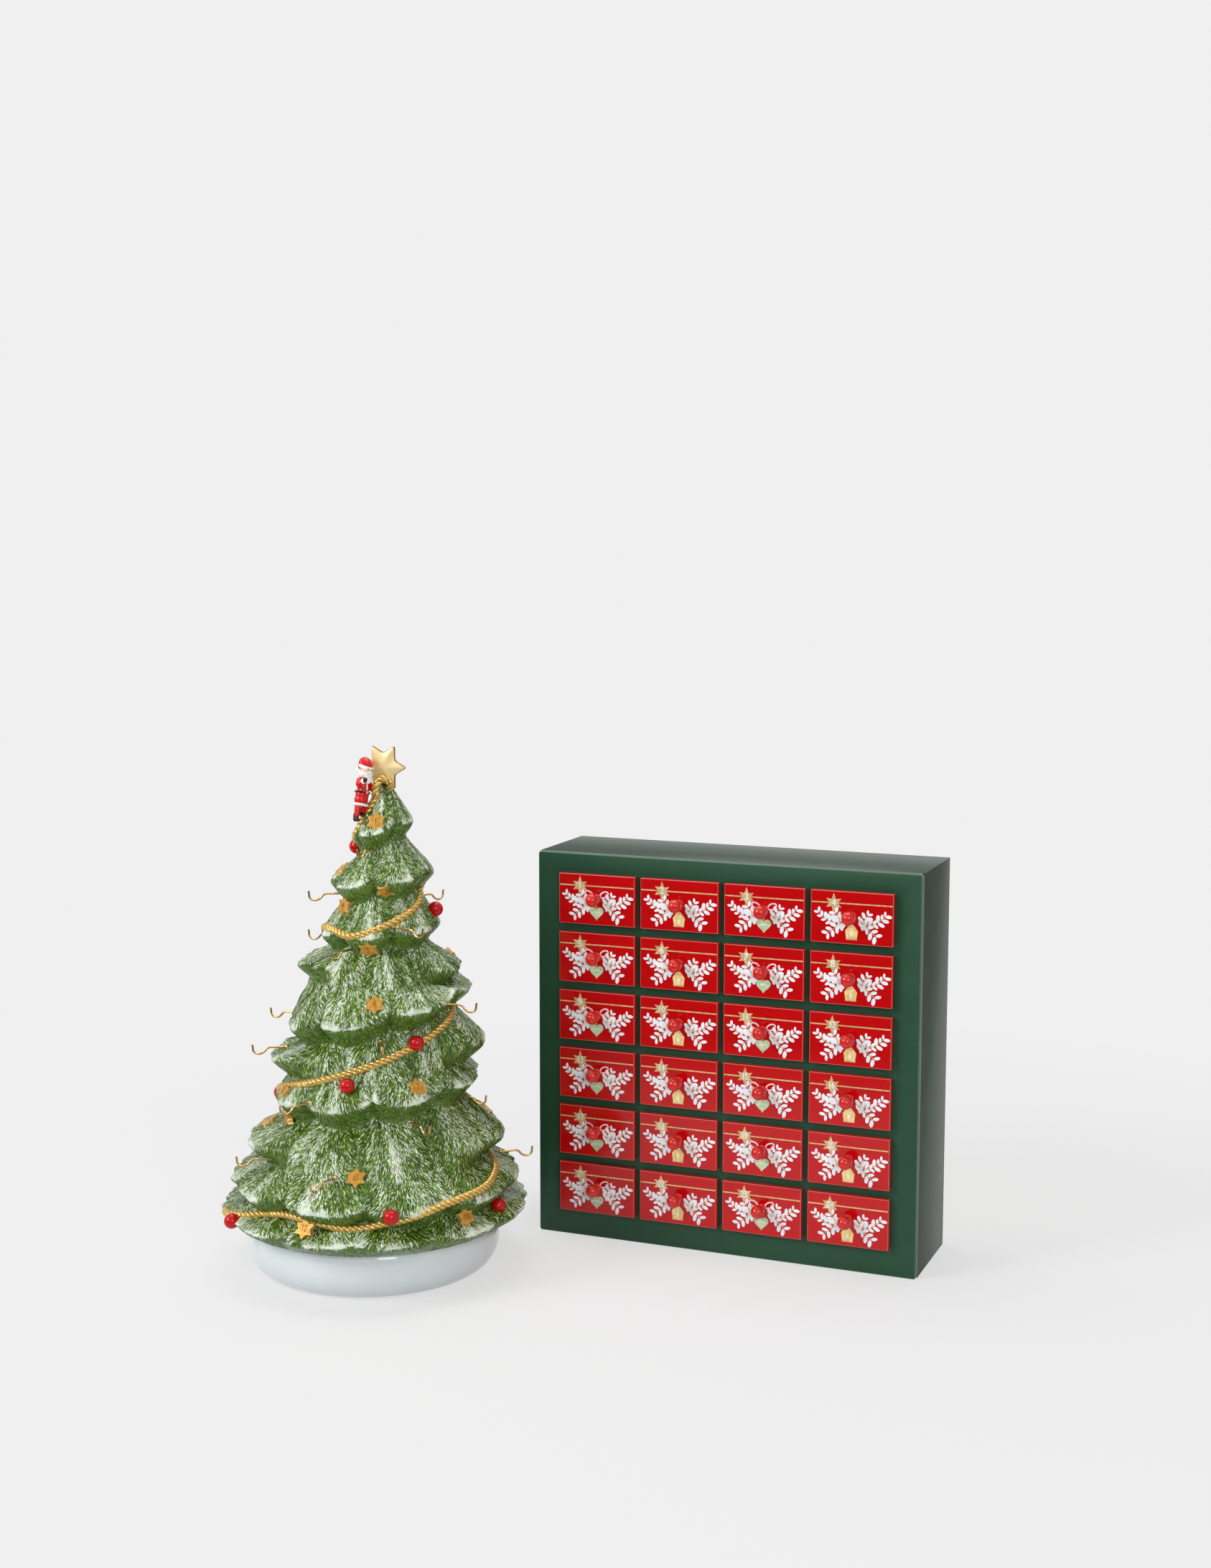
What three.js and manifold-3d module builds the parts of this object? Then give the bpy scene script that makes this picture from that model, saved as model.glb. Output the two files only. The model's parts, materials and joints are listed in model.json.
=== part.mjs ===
// Advent calendar in two pieces that stand side by side: a porcelain Christmas tree with twenty-four
// brass hooks, and a green cabinet whose twenty-four numbered drawers hold the ornaments for the hooks.
// Millimetres, +Z up. The origin is the centre of the cabinet's underside, and the drawers open along -Y.

import * as THREE from 'three';
import { mergeVertices } from 'three/addons/utils/BufferGeometryUtils.js';
import Module from 'manifold-3d';

const wasm = await Module();
wasm.setup();

// Clearances
const seatGap = 0.3; // between pieces that are glued or screwed face to face
const slideGap = 0.4; // round a drawer in its compartment
const sliver = 0.05; // finest detail that a cut leaves in a solid

// Cabinet
const cabinetWidth = 350;
const cabinetHeight = 350;
const cabinetDepth = 100;
const boardThickness = 9;
const facePanelThickness = 6;
const backPanelThickness = 3;
const dividerThickness = 6; // of the shelves and the partitions on them
const cornerRounding = 1.5; // of the face panel's outer corners

// Drawers
const drawerColumns = 4;
const drawerRows = 6;
const sideMargin = 22.7; // from the cabinet's side to the first drawer front
const topMargin = 17.4;
const bottomMargin = 24.2;
const columnGap = 5.5; // between two drawer fronts
const rowGap = 7.7;
const frontThickness = 6;
const frontLap = 3; // that a front covers beyond its window
const trayDepth = 84;
const trayWall = 3;
const knobDiameter = 12;
const knobNeckDiameter = 6;
const knobReach = 11; // from the drawer front to the middle of the knob
const knobRaise = 1.5; // of the knob above the middle of the front

// Porcelain base
const porcelainWall = 6; // of the base and the tree
const baseRadius = 109;
const baseHeight = 43;
const baseFootRadius = 96;
const baseFootRecess = 3;
const baseFootWidth = 9;
const registerRadius = 88; // of the low ring that locates the tree on the base
const registerHeight = 4;

// Porcelain tree, in its own frame: the axis is at the origin and its front faces -Y
const treePlace = [-277, -177];
const treeTurn = 27.5; // degrees, anticlockwise from above
const treeLean = 13; // the tip's shift towards +X
const tipHeight = 421;
const tipRadius = 4.5;
const skirtRadius = 117; // where the skirt meets the base
const registerPlay = 2;
const boughBulge = 0.03; // of a bough beyond a straight slope, as a share of its radius

const upTree = (hundredths) => (hundredths * tipHeight) / 100;
const outTree = (hundredths) => (hundredths * skirtRadius) / 100;
const upSpot = ([turn, hundredths, ...rest]) => [turn, upTree(hundredths), ...rest];

// The rows of boughs from the bottom up. z and radius are at the row's lip, hang is how far a bough's
// middle droops, flare how far it stands out, rise how much higher the row is on the right than in the
// middle, band the height of the smooth underside, cut its depth, and fade how much the front is missing.
// Heights are hundredths of the tip height, and radius, flare and cut are hundredths of the skirt radius.
const rows = [
  // z, radius, boughs, turn, hang, flare, rise, band, cut, fade
  [13.3, 110.3, 12, 8, 1, 3.4, 0, 0, 0, 0],
  [19.5, 103.4, 10, 14, 2.1, 5.1, -0.2, 3.1, 12, 0],
  [27.6, 92.3, 9, 10, 1.7, 5.1, -0.2, 3.3, 15.4, 0.95],
  [38.7, 71.8, 8, 20, 2.1, 6, 2.1, 3.8, 14.5, 0],
  [45.8, 76.9, 8, 0, 1.4, 3.4, 1.2, 3.6, 14.5, 1],
  [55.3, 64.1, 7, -18, 2.1, 6, 3.6, 3.6, 14.5, 0],
  [63.2, 58.1, 7, 10, 1.4, 3.4, -0.5, 2.6, 10.3, 1],
  [71, 41, 6, -16, 1.9, 4.3, 0.7, 3.1, 10.3, 0],
  [81.5, 35.9, 5, 26, 1.9, 3.4, 1.2, 3.3, 10.3, 0],
  [91.4, 19.7, 4, -20, 1.7, 2.6, 1.7, 2.9, 6, 0],
].map(([z, radius, boughs, turn, hang, flare, rise, band, cut, fade]) => ({
  z: upTree(z),
  radius: outTree(radius),
  boughs,
  turn,
  hang: upTree(hang),
  flare: outTree(flare),
  rise: upTree(rise),
  band: upTree(band),
  cut: outTree(cut),
  fade,
}));

// Relief on the tree, as [degrees round from the front towards the right, height in hundredths]
const starSpots = [
  [-16, 92.6], [-84, 82.2], [6, 79.3], [-57, 75.5], [-13, 67.7], [-3, 57.7], [24, 41.1], [-74, 32.3],
  [-92, 29.9], [-72, 38], [-9, 24.9], [-28, 15.4], [39, 15.7], [100, 30.9], [140, 23.8], [165, 38],
  [-170, 28.5], [-135, 42.8], [150, 51.1], [-160, 55.8], [110, 62.9], [170, 68.9], [-130, 73.6],
  [150, 83.1],
].map(upSpot);
const berrySpots = [
  [-66, 13.3], [6, 18.8], [62, 15], [-18, 42], [27, 49.4], [80, 74.1], [-100, 35.2], [-110, 86.7],
  [120, 26.1], [175, 32.1], [-135, 59.4], [160, 58.2],
].map(upSpot);
const numberStarRadius = 8.5;
const numberStarDepth = 5;
const numberStarProud = 1.4;
const berryDiameter = 13;
const berrySink = 2.5; // of a berry's middle into the tree

// The rope garland winds up the tree to the tip, as [degrees round, height in hundredths]
const ropeSpots = [
  [-90, 11.9], [-61, 14.7], [-45, 16.6], [-30, 16.9], [-10, 15.4], [7, 17.1], [28, 19.5], [57, 20.7],
  [90, 22.8], [180, 29.5], [260, 36.1], [289, 39.2], [317, 41.6], [340, 43.9], [362, 46.1], [387, 48.7],
  [424, 52.5], [450, 54.4], [540, 62.2], [610, 68.9], [638, 70.8], [668, 70.8], [690, 70.3],
  [729, 72.7], [768, 75.5], [810, 78.6], [900, 83.1], [970, 86.9], [998, 89.5], [1026, 95.2],
  [1060, 98.8],
].map(upSpot);
const ropeRadius = 3.4;
const ropeSink = 0.8; // of the rope's middle below the boughs
const ropeStep = 16; // degrees

// Hooks of brass wire, as [degrees round, height in hundredths, heading]
const hookSpots = [
  [-73, 77.7, -90], [128, 75.5, 128], [-23, 87.2, -27.5], [18, 72, 46], [-37, 67.2, -37],
  [-115, 50.8, -117.5], [45, 56.8, 69], [-90, 45.6, -90], [1, 49.9, 6], [127, 41.8, 127],
  [-125, 33.5, -125], [-41, 37.8, -56], [58, 37.3, 62.5], [22, 33.7, 34], [-64, 25.2, -90],
  [100, 20.9, 103], [-19, 24.7, -42], [180, 21.9, 180], [152.5, 33.7, 152.5], [-117.5, 23.8, -117.5],
  [-172, 48.9, -172], [152.5, 62.2, 152.5], [-117.5, 67.9, -117.5], [152.5, 79.6, 152.5],
].map(upSpot);
const wireDiameter = 1.7;
const hookShank = 14; // from the tree's face to the first bend
const hookDip = 5.5;
const hookMouth = 8;
const hookTipRise = 2.5;
const hookSocketDepth = 5;
const hookSocketPlay = 0.35;

// Star on the tip
const tipStarRadius = 21.5;
const tipStarThickness = 6;
const tipStarRidge = 1.6; // of the pillowed faces above the rim
const tipStarTurn = -25; // degrees from the front
const tipStarLift = 13; // of its middle above the tip
const pegRadius = 2;
const pegLength = 8;

// Climbing figure
const figureHeight = 52;
const figurePlace = [-9, -14]; // between its feet
const figureDrop = 32; // of its feet below the tip
const figureTurn = 40; // degrees, of its face from the front towards the tip
const figureLean = [11, 9]; // degrees towards the back and towards the right

const frontWidth = (cabinetWidth - 2 * sideMargin - (drawerColumns - 1) * columnGap) / drawerColumns;
const frontHeight = (cabinetHeight - topMargin - bottomMargin - (drawerRows - 1) * rowGap) / drawerRows;
const windowWidth = frontWidth - 2 * frontLap;
const windowHeight = frontHeight - 2 * frontLap;
const facePlane = -cabinetDepth / 2;
const caseFront = facePlane + facePanelThickness + seatGap;
const caseBack = cabinetDepth / 2;
const backPanelFront = caseBack - backPanelThickness - seatGap;

const around = 40; // points round the tree
const degree = Math.PI / 180;

// Solids

function solid(geometry) {
  const bare = geometry.clone();
  for (const name of Object.keys(bare.attributes)) if (name !== 'position') bare.deleteAttribute(name);
  const merged = mergeVertices(bare, 1e-4);
  return new wasm.Manifold(new wasm.Mesh({
    numProp: 3,
    vertProperties: new Float32Array(merged.attributes.position.array),
    triVerts: new Uint32Array(merged.index.array),
  }));
}

function geometryOf(manifold) {
  const { numProp, vertProperties, triVerts } = manifold.asOriginal().simplify(sliver).getMesh();
  const geometry = new THREE.BufferGeometry();
  const points = [];
  for (let i = 0; i < vertProperties.length; i += numProp) points.push(...vertProperties.slice(i, i + 3));
  geometry.setAttribute('position', new THREE.Float32BufferAttribute(points, 3));
  geometry.setIndex([...triVerts]);
  geometry.computeVertexNormals();
  return geometry;
}

function box(width, depth, height, x = 0, y = 0, z = 0) {
  return new THREE.BoxGeometry(width, depth, height).translate(x, y, z);
}

function rectangle(kind, width, height, x = 0, y = 0) {
  const outline = new kind();
  outline.moveTo(x - width / 2, y - height / 2);
  outline.lineTo(x + width / 2, y - height / 2);
  outline.lineTo(x + width / 2, y + height / 2);
  outline.lineTo(x - width / 2, y + height / 2);
  outline.closePath();
  return outline;
}

// A shape drawn in X and Z, extruded from y to y + depth
function upright(shape, y, depth) {
  const geometry = new THREE.ExtrudeGeometry(shape, { depth, bevelEnabled: false });
  return geometry.rotateX(Math.PI / 2).translate(0, y + depth, 0);
}

// A closed surface through rings of equal length; a ring of one point closes an end
function loft(rings) {
  const points = [];
  const faces = [];
  const starts = rings.map((ring) => {
    points.push(...ring);
    return points.length - ring.length;
  });
  const at = (i, j) => starts[i] + (rings[i].length === 1 ? 0 : j % rings[i].length);
  for (let i = 0; i + 1 < rings.length; i += 1) {
    const count = Math.max(rings[i].length, rings[i + 1].length);
    for (let j = 0; j < count; j += 1) {
      if (rings[i].length > 1) faces.push(at(i, j), at(i, j + 1), at(i + 1, j + 1));
      if (rings[i + 1].length > 1) faces.push(at(i, j), at(i + 1, j + 1), at(i + 1, j));
    }
  }
  const geometry = new THREE.BufferGeometry().setFromPoints(points);
  geometry.setIndex(faces);
  geometry.computeVertexNormals();
  return geometry;
}

function starOutline(radius, points = 6) {
  const inner = radius / Math.sqrt(3);
  const corners = [];
  for (let i = 0; i < 2 * points; i += 1) {
    const reach = i % 2 ? inner : radius;
    const angle = (i * Math.PI) / points;
    corners.push(new THREE.Vector2(reach * Math.cos(angle), reach * Math.sin(angle)));
  }
  return corners;
}

// Materials

const material = (color, roughness, metalness = 0) =>
  new THREE.MeshStandardMaterial({ color, roughness, metalness });
const greenLacquer = material(0x35513f, 0.45);
const redLacquer = material(0xc00a0e, 0.2);
const bareBoard = material(0xb08d62, 0.8);
const whiteGlaze = material(0xe8eef0, 0.12);
const greenGlaze = material(0x3f6f2c, 0.18);
const brass = material(0xb78a3c, 0.3, 1);
const gold = material(0xd9b25a, 0.28, 1);
const paintedPorcelain = material(0xb01a18, 0.25);

const calendar = new THREE.Group();

function place(parent, name, geometry, finish) {
  const mesh = new THREE.Mesh(geometry, finish);
  mesh.name = name;
  parent.add(mesh);
  return mesh;
}

// Cabinet

// Middle of each drawer front in X and Z, numbered in rows from the top left
function drawerCentres() {
  const centres = [];
  for (let row = 0; row < drawerRows; row += 1) {
    for (let column = 0; column < drawerColumns; column += 1) {
      centres.push([
        -cabinetWidth / 2 + sideMargin + frontWidth / 2 + column * (frontWidth + columnGap),
        cabinetHeight - topMargin - frontHeight / 2 - row * (frontHeight + rowGap),
      ]);
    }
  }
  return centres;
}

// Height of the shelf's top under a row of drawers, level with the lower edge of the row's windows
function floorUnder(row) {
  return cabinetHeight - topMargin - frontLap - windowHeight - row * (frontHeight + rowGap);
}

// A shelf with an upright partition at each side of every drawer, drawn in X and Z and run front to back.
// side is the half of its length.
function shelf(row, side) {
  const floor = floorUnder(row);
  const above = row > 0 ? floorUnder(row - 1) - dividerThickness : cabinetHeight - boardThickness;
  const outline = new THREE.Shape();
  outline.moveTo(side, floor).lineTo(side, floor - dividerThickness);
  outline.lineTo(-side, floor - dividerThickness).lineTo(-side, floor);
  for (let i = 0; i <= drawerColumns; i += 1) {
    const x = -cabinetWidth / 2 + sideMargin - columnGap / 2 + i * (frontWidth + columnGap);
    const [left, right, top] = [x - dividerThickness / 2, x + dividerThickness / 2, above - seatGap];
    outline.lineTo(left, floor).lineTo(left, top).lineTo(right, top).lineTo(right, floor);
  }
  const front = caseFront + seatGap;
  return upright(outline, front, backPanelFront - front);
}

// The case is glued up round its lowest shelf, which keeps it square
function cabinetCase() {
  const outline = rectangle(THREE.Shape, cabinetWidth, cabinetHeight, 0, cabinetHeight / 2);
  const innerWidth = cabinetWidth - 2 * boardThickness;
  const innerHeight = cabinetHeight - 2 * boardThickness;
  outline.holes.push(rectangle(THREE.Path, innerWidth, innerHeight, 0, cabinetHeight / 2));
  const lowest = shelf(drawerRows - 1, (cabinetWidth - boardThickness) / 2);
  return geometryOf(solid(upright(outline, caseFront, caseBack - caseFront)).add(solid(lowest)));
}

function facePanel() {
  const outline = new THREE.Shape();
  const [w, h, r] = [cabinetWidth / 2, cabinetHeight, cornerRounding];
  outline.moveTo(-w + r, 0).lineTo(w - r, 0).lineTo(w, r).lineTo(w, h - r);
  outline.lineTo(w - r, h).lineTo(-w + r, h).lineTo(-w, h - r).lineTo(-w, r);
  const panel = solid(upright(outline, facePlane, facePanelThickness));
  const cutter = (x, z) => solid(box(windowWidth, 2 * cabinetDepth, windowHeight, x, 0, z));
  return geometryOf(drawerCentres().reduce((rest, [x, z]) => rest.subtract(cutter(x, z)), panel));
}

function backPanel() {
  const width = cabinetWidth - 2 * boardThickness - 2 * seatGap;
  const height = cabinetHeight - 2 * boardThickness - 2 * seatGap;
  return box(width, backPanelThickness, height, 0, caseBack - backPanelThickness / 2, cabinetHeight / 2);
}

// Tray, front and knob, glued and varnished as one piece. The origin is the middle of the front's back.
function drawer() {
  const trayWidth = windowWidth - 2 * slideGap;
  const trayHeight = windowHeight - 2 * slideGap;
  const overlap = frontThickness / 2;
  const tray = solid(box(trayWidth, trayDepth + overlap, trayHeight, 0, (trayDepth - overlap) / 2, 0));
  const inside = solid(box(
    trayWidth - 2 * trayWall, trayDepth - trayWall, trayHeight,
    0, (trayDepth - trayWall) / 2, trayWall,
  ));
  const front = solid(box(frontWidth, frontThickness, frontHeight, 0, -frontThickness / 2, 0));
  const knob = solid(knobProfile().translate(0, -frontThickness, knobRaise));
  return geometryOf(tray.subtract(inside).add(front).add(knob));
}

// A ball on a waisted neck, its axis along -Y
function knobProfile() {
  const profile = [new THREE.Vector2(0, -frontThickness / 3)];
  profile.push(new THREE.Vector2(knobNeckDiameter / 2 + 1, -frontThickness / 3));
  profile.push(new THREE.Vector2(knobNeckDiameter / 2 + 1, 0));
  const start = Math.asin(knobNeckDiameter / knobDiameter);
  const steps = 3;
  for (let i = 0; i < steps; i += 1) {
    const angle = Math.PI - start - (i * (Math.PI - start)) / steps;
    const [reach, height] = [Math.sin(angle), Math.cos(angle)].map((v) => (v * knobDiameter) / 2);
    profile.push(new THREE.Vector2(reach, knobReach + height));
  }
  profile.push(new THREE.Vector2(0, knobReach + knobDiameter / 2));
  return new THREE.LatheGeometry(profile, 8).rotateX(Math.PI);
}

place(calendar, 'cabinet_case', cabinetCase(), greenLacquer);
place(calendar, 'face_panel', facePanel(), greenLacquer);
place(calendar, 'back_panel', backPanel(), bareBoard);
for (let row = 0; row < drawerRows - 1; row += 1) {
  const side = cabinetWidth / 2 - boardThickness - seatGap;
  place(calendar, `shelf_${row + 1}`, shelf(row, side), bareBoard);
}

const drawerGeometry = drawer();
drawerCentres().forEach(([x, z], i) => {
  const number = String(i + 1).padStart(2, '0');
  const mesh = place(calendar, `drawer_${number}`, drawerGeometry.clone(), redLacquer);
  mesh.position.set(x, facePlane - seatGap, z);
});

// Porcelain base: a thin-walled pot on a foot ring, with a low register ring that the tree drops over

function base() {
  const fillet = baseRadius - baseFootRadius;
  const footInside = baseFootRadius - baseFootWidth;
  const inside = baseRadius - porcelainWall;
  const profile = [[0, baseFootRecess], [footInside - baseFootRecess, baseFootRecess], [footInside, 0]];
  for (let i = 0; i <= 3; i += 1) {
    const angle = (i * Math.PI) / 6;
    profile.push([baseFootRadius + fillet * Math.sin(angle), fillet * (1 - Math.cos(angle))]);
  }
  profile.push([baseRadius, baseHeight - 2], [baseRadius - 2, baseHeight]);
  profile.push([registerRadius, baseHeight], [registerRadius - 1, baseHeight + registerHeight]);
  profile.push([registerRadius - porcelainWall, baseHeight + registerHeight]);
  profile.push([registerRadius - porcelainWall, baseHeight - porcelainWall]);
  profile.push([inside - fillet / 2, baseHeight - porcelainWall], [inside, baseHeight - 2 * porcelainWall]);
  profile.push([inside, fillet + porcelainWall], [inside - fillet, baseFootRecess + porcelainWall]);
  profile.push([0, baseFootRecess + porcelainWall]);
  const outline = profile.map(([radius, z]) => new THREE.Vector2(radius, z));
  return new THREE.LatheGeometry(outline, 32).rotateX(Math.PI / 2);
}

// Porcelain tree

const smooth = (low, high, value) => THREE.MathUtils.smoothstep(value, low, high);

// 1 along the middle of a bough and 0 in the notch between two
function bough(row, angle) {
  return Math.sqrt(Math.abs(Math.cos((row.boughs * (angle - row.turn * degree)) / 2)));
}

// The lip of a row at one angle, and the narrow neck under it, as [radius, height]. grow thickens the tree.
function lipAndNeck(row, angle, slope) {
  const shown = 1 - row.fade * smooth(0.25, 0.8, Math.cos(angle));
  const swell = bough(row, angle);
  const z = row.z + row.rise * Math.sin(angle) - row.hang * shown * (swell - 0.5);
  const lip = THREE.MathUtils.lerp(slope(z), row.radius + row.flare * (swell - 0.5), shown);
  const neckZ = z - row.band - 1;
  const neck = THREE.MathUtils.lerp(slope(neckZ), lip - row.cut, shown);
  return { lip: [lip, z], neck: [neck, neckZ] };
}

// A plain cone through the full rows, which the missing front of a faded row follows
function slopeBetween(index) {
  let above = index;
  let below = index;
  while (rows[above].fade > 0) above += 1;
  while (rows[below].fade > 0) below -= 1;
  const [low, high] = [rows[below], rows[above]];
  const neckZ = high.z - high.band;
  const neckRadius = high.radius - high.cut;
  return (z) => low.radius + ((neckRadius - low.radius) * (z - low.z)) / Math.max(neckZ - low.z, 1);
}
const slopes = rows.map((row, index) => slopeBetween(index));

// The tree's outline at one angle from the bottom up, as [radius, height]
function outlineAt(angle) {
  const outline = [[skirtRadius, baseHeight + seatGap]];
  const ends = rows.map((row, index) => lipAndNeck(row, angle, slopes[index]));
  ends.forEach(({ lip, neck }, index) => {
    if (index > 0) outline.push(neck);
    const next = index + 1 < ends.length ? ends[index + 1].neck : [tipRadius, tipHeight];
    const bulge = boughBulge * rows[index].radius * bough(rows[index], angle);
    outline.push(lip);
    outline.push([0, 1].map((k) => THREE.MathUtils.lerp(lip[k], next[k], 0.3) + (k ? 0 : bulge)));
  });
  outline.push([tipRadius, tipHeight]);
  return outline;
}

function radiusAt(angle, z) {
  const outline = outlineAt(angle);
  for (let i = 1; i < outline.length; i += 1) {
    const [[r0, z0], [r1, z1]] = [outline[i - 1], outline[i]];
    if (z <= z1) return r0 + ((r1 - r0) * (z - z0)) / (z1 - z0);
  }
  return tipRadius;
}

const leanAt = (z) => (treeLean * z) / tipHeight;

// A point of the tree's frame at an angle, a height and a radius
function onTree(angle, z, radius) {
  return new THREE.Vector3(leanAt(z) + radius * Math.sin(angle), -radius * Math.cos(angle), z);
}

function treeRings(grow = 0) {
  const angles = Array.from({ length: around }, (_, j) => (2 * Math.PI * j) / around);
  const outlines = angles.map(outlineAt);
  return outlines[0].map((_, i) => angles.map((angle, j) => {
    const [radius, z] = outlines[j][i];
    return onTree(angle, z, radius + grow);
  }));
}

// The hollow of the casting, a wall's thickness inside the narrow necks of the full rows
function hollowRings() {
  const ring = (radius, z) => Array.from({ length: around }, (_, j) => (
    onTree((2 * Math.PI * j) / around, z, radius)));
  const necks = rows.slice(1, -1).filter((row) => row.fade === 0).reverse();
  const stops = necks.map(({ z, band, rise, radius, cut, flare }) => (
    ring(radius - cut - flare / 2 - porcelainWall, z - band - Math.abs(rise))));
  const mouth = ring(registerRadius + registerPlay, baseHeight + seatGap);
  return [[onTree(0, necks[0].z, 0)], ...stops, mouth];
}

function treeBody() {
  const outer = treeRings();
  return solid(loft([...hollowRings(), ...outer, [onTree(0, tipHeight, 0)]]));
}

// Turns a piece that faces -Y at the origin to face out of the tree at an angle
function facing(geometry, angle, z, radius, tilt = 0) {
  const at = onTree(angle, z, radius);
  return geometry.rotateX(-tilt).rotateZ(angle).translate(at.x, at.y, at.z);
}

// Slope of the tree's face at a spot, from upright
function tiltAt(angle, z, span) {
  const [low, high] = [radiusAt(angle, z - span), radiusAt(angle, z + span)];
  return Math.atan2(low - high, 2 * span);
}

function numberStar(angle, z) {
  const span = numberStarRadius * 0.7;
  const radius = Math.max(radiusAt(angle, z), (radiusAt(angle, z - span) + radiusAt(angle, z + span)) / 2);
  const outline = new THREE.Shape(starOutline(numberStarRadius));
  const plate = new THREE.ExtrudeGeometry(outline, { depth: numberStarDepth, bevelEnabled: false });
  plate.rotateZ(Math.PI / 2).rotateX(Math.PI / 2).translate(0, numberStarDepth - numberStarProud, 0);
  return solid(facing(plate, angle, z, radius, -tiltAt(angle, z, span)));
}

function berry(angle, z) {
  const ball = new THREE.SphereGeometry(berryDiameter / 2, 6, 4);
  return solid(facing(ball, angle, z, radiusAt(angle, z) + berryDiameter / 2 - berrySink));
}

// A curve through the rope's spots, drawn along the outermost boughs near each point
function ropePath() {
  const spots = ropeSpots.map(([turn, z]) => new THREE.Vector3(turn, z, 0));
  const knots = new THREE.CatmullRomCurve3(spots, false, 'centripetal');
  const steps = Math.round((ropeSpots[ropeSpots.length - 1][0] - ropeSpots[0][0]) / ropeStep);
  const points = knots.getSpacedPoints(steps).map(({ x, y }) => {
    const near = [-4, 0, 4].map((side) => radiusAt((x + side) * degree, y));
    return onTree(x * degree, y, Math.max(...near) - ropeSink);
  });
  return new THREE.CatmullRomCurve3(points, false, 'centripetal');
}

function polygon(radius, sides) {
  const corners = Array.from({ length: sides }, (_, i) => {
    const angle = (2 * Math.PI * i) / sides;
    return new THREE.Vector2(radius * Math.cos(angle), radius * Math.sin(angle));
  });
  return new THREE.Shape(corners);
}

function rope(radius) {
  const path = ropePath();
  const along = { steps: path.points.length - 1, extrudePath: path };
  return solid(new THREE.ExtrudeGeometry(polygon(radius, 5), along));
}

// A blind socket for a hook's root
function hookSocket(turn, z, heading) {
  const radius = wireDiameter / 2 + hookSocketPlay;
  const bore = new THREE.CylinderGeometry(radius, radius, 4 * hookSocketDepth, 5);
  bore.translate(0, -hookSocketDepth, 0);
  return solid(hookAtSpot(bore, turn, z, heading));
}

function hookAtSpot(geometry, turn, z, heading) {
  const at = onTree(turn * degree, z, radiusAt(turn * degree, z));
  return geometry.rotateZ(heading * degree).translate(at.x, at.y, at.z);
}

// Brass hook: a shank out of the tree, a step down and an upturned tip, along -Y
function hook() {
  const bend = hookDip * 0.45;
  const low = hookShank + hookDip * 0.8 + bend;
  const points = [
    [seatGap - hookSocketDepth, 0], [hookShank, 0], [hookShank + bend, -bend * 0.35],
    [low - bend * 0.7, bend * 0.7 - hookDip], [low + hookMouth * 0.2, -hookDip],
    [low + hookMouth * 0.65, -hookDip * 0.96], [low + hookMouth * 0.95, -hookDip * 0.55],
    [low + hookMouth, 0], [low + hookMouth * 1.05, hookTipRise],
  ].map(([out, up]) => new THREE.Vector3(0, -out, up));
  const path = new THREE.CatmullRomCurve3(points, false, 'centripetal');
  return new THREE.ExtrudeGeometry(polygon(wireDiameter / 2, 5), { steps: 9, extrudePath: path });
}

// A pillowed hexagram with two points up, in the plane of X and Z
function pillowedStar(grow = 0) {
  const outline = starOutline(tipStarRadius + grow);
  const half = tipStarThickness / 2 + grow;
  const rim = half - tipStarRidge;
  const ring = (reach, y) => outline.map((p) => new THREE.Vector3(p.x * reach, y, p.y * reach));
  return loft([[new THREE.Vector3(0, half, 0)], ring(0.75, half), ring(1, rim), ring(1, -rim),
    ring(0.75, -half), [new THREE.Vector3(0, -half, 0)]]);
}

const tip = onTree(0, tipHeight, 0);

function onTip(geometry) {
  return solid(geometry.rotateZ(tipStarTurn * degree).translate(tip.x, 0, tipHeight + tipStarLift));
}

function peg(radius, length) {
  const top = -tipStarRadius * 0.4;
  const bottom = -tipStarLift - length;
  const rod = new THREE.CylinderGeometry(radius, radius, top - bottom, 8).rotateX(Math.PI / 2);
  return onTip(rod.translate(0, 0, (top + bottom) / 2));
}

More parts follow.
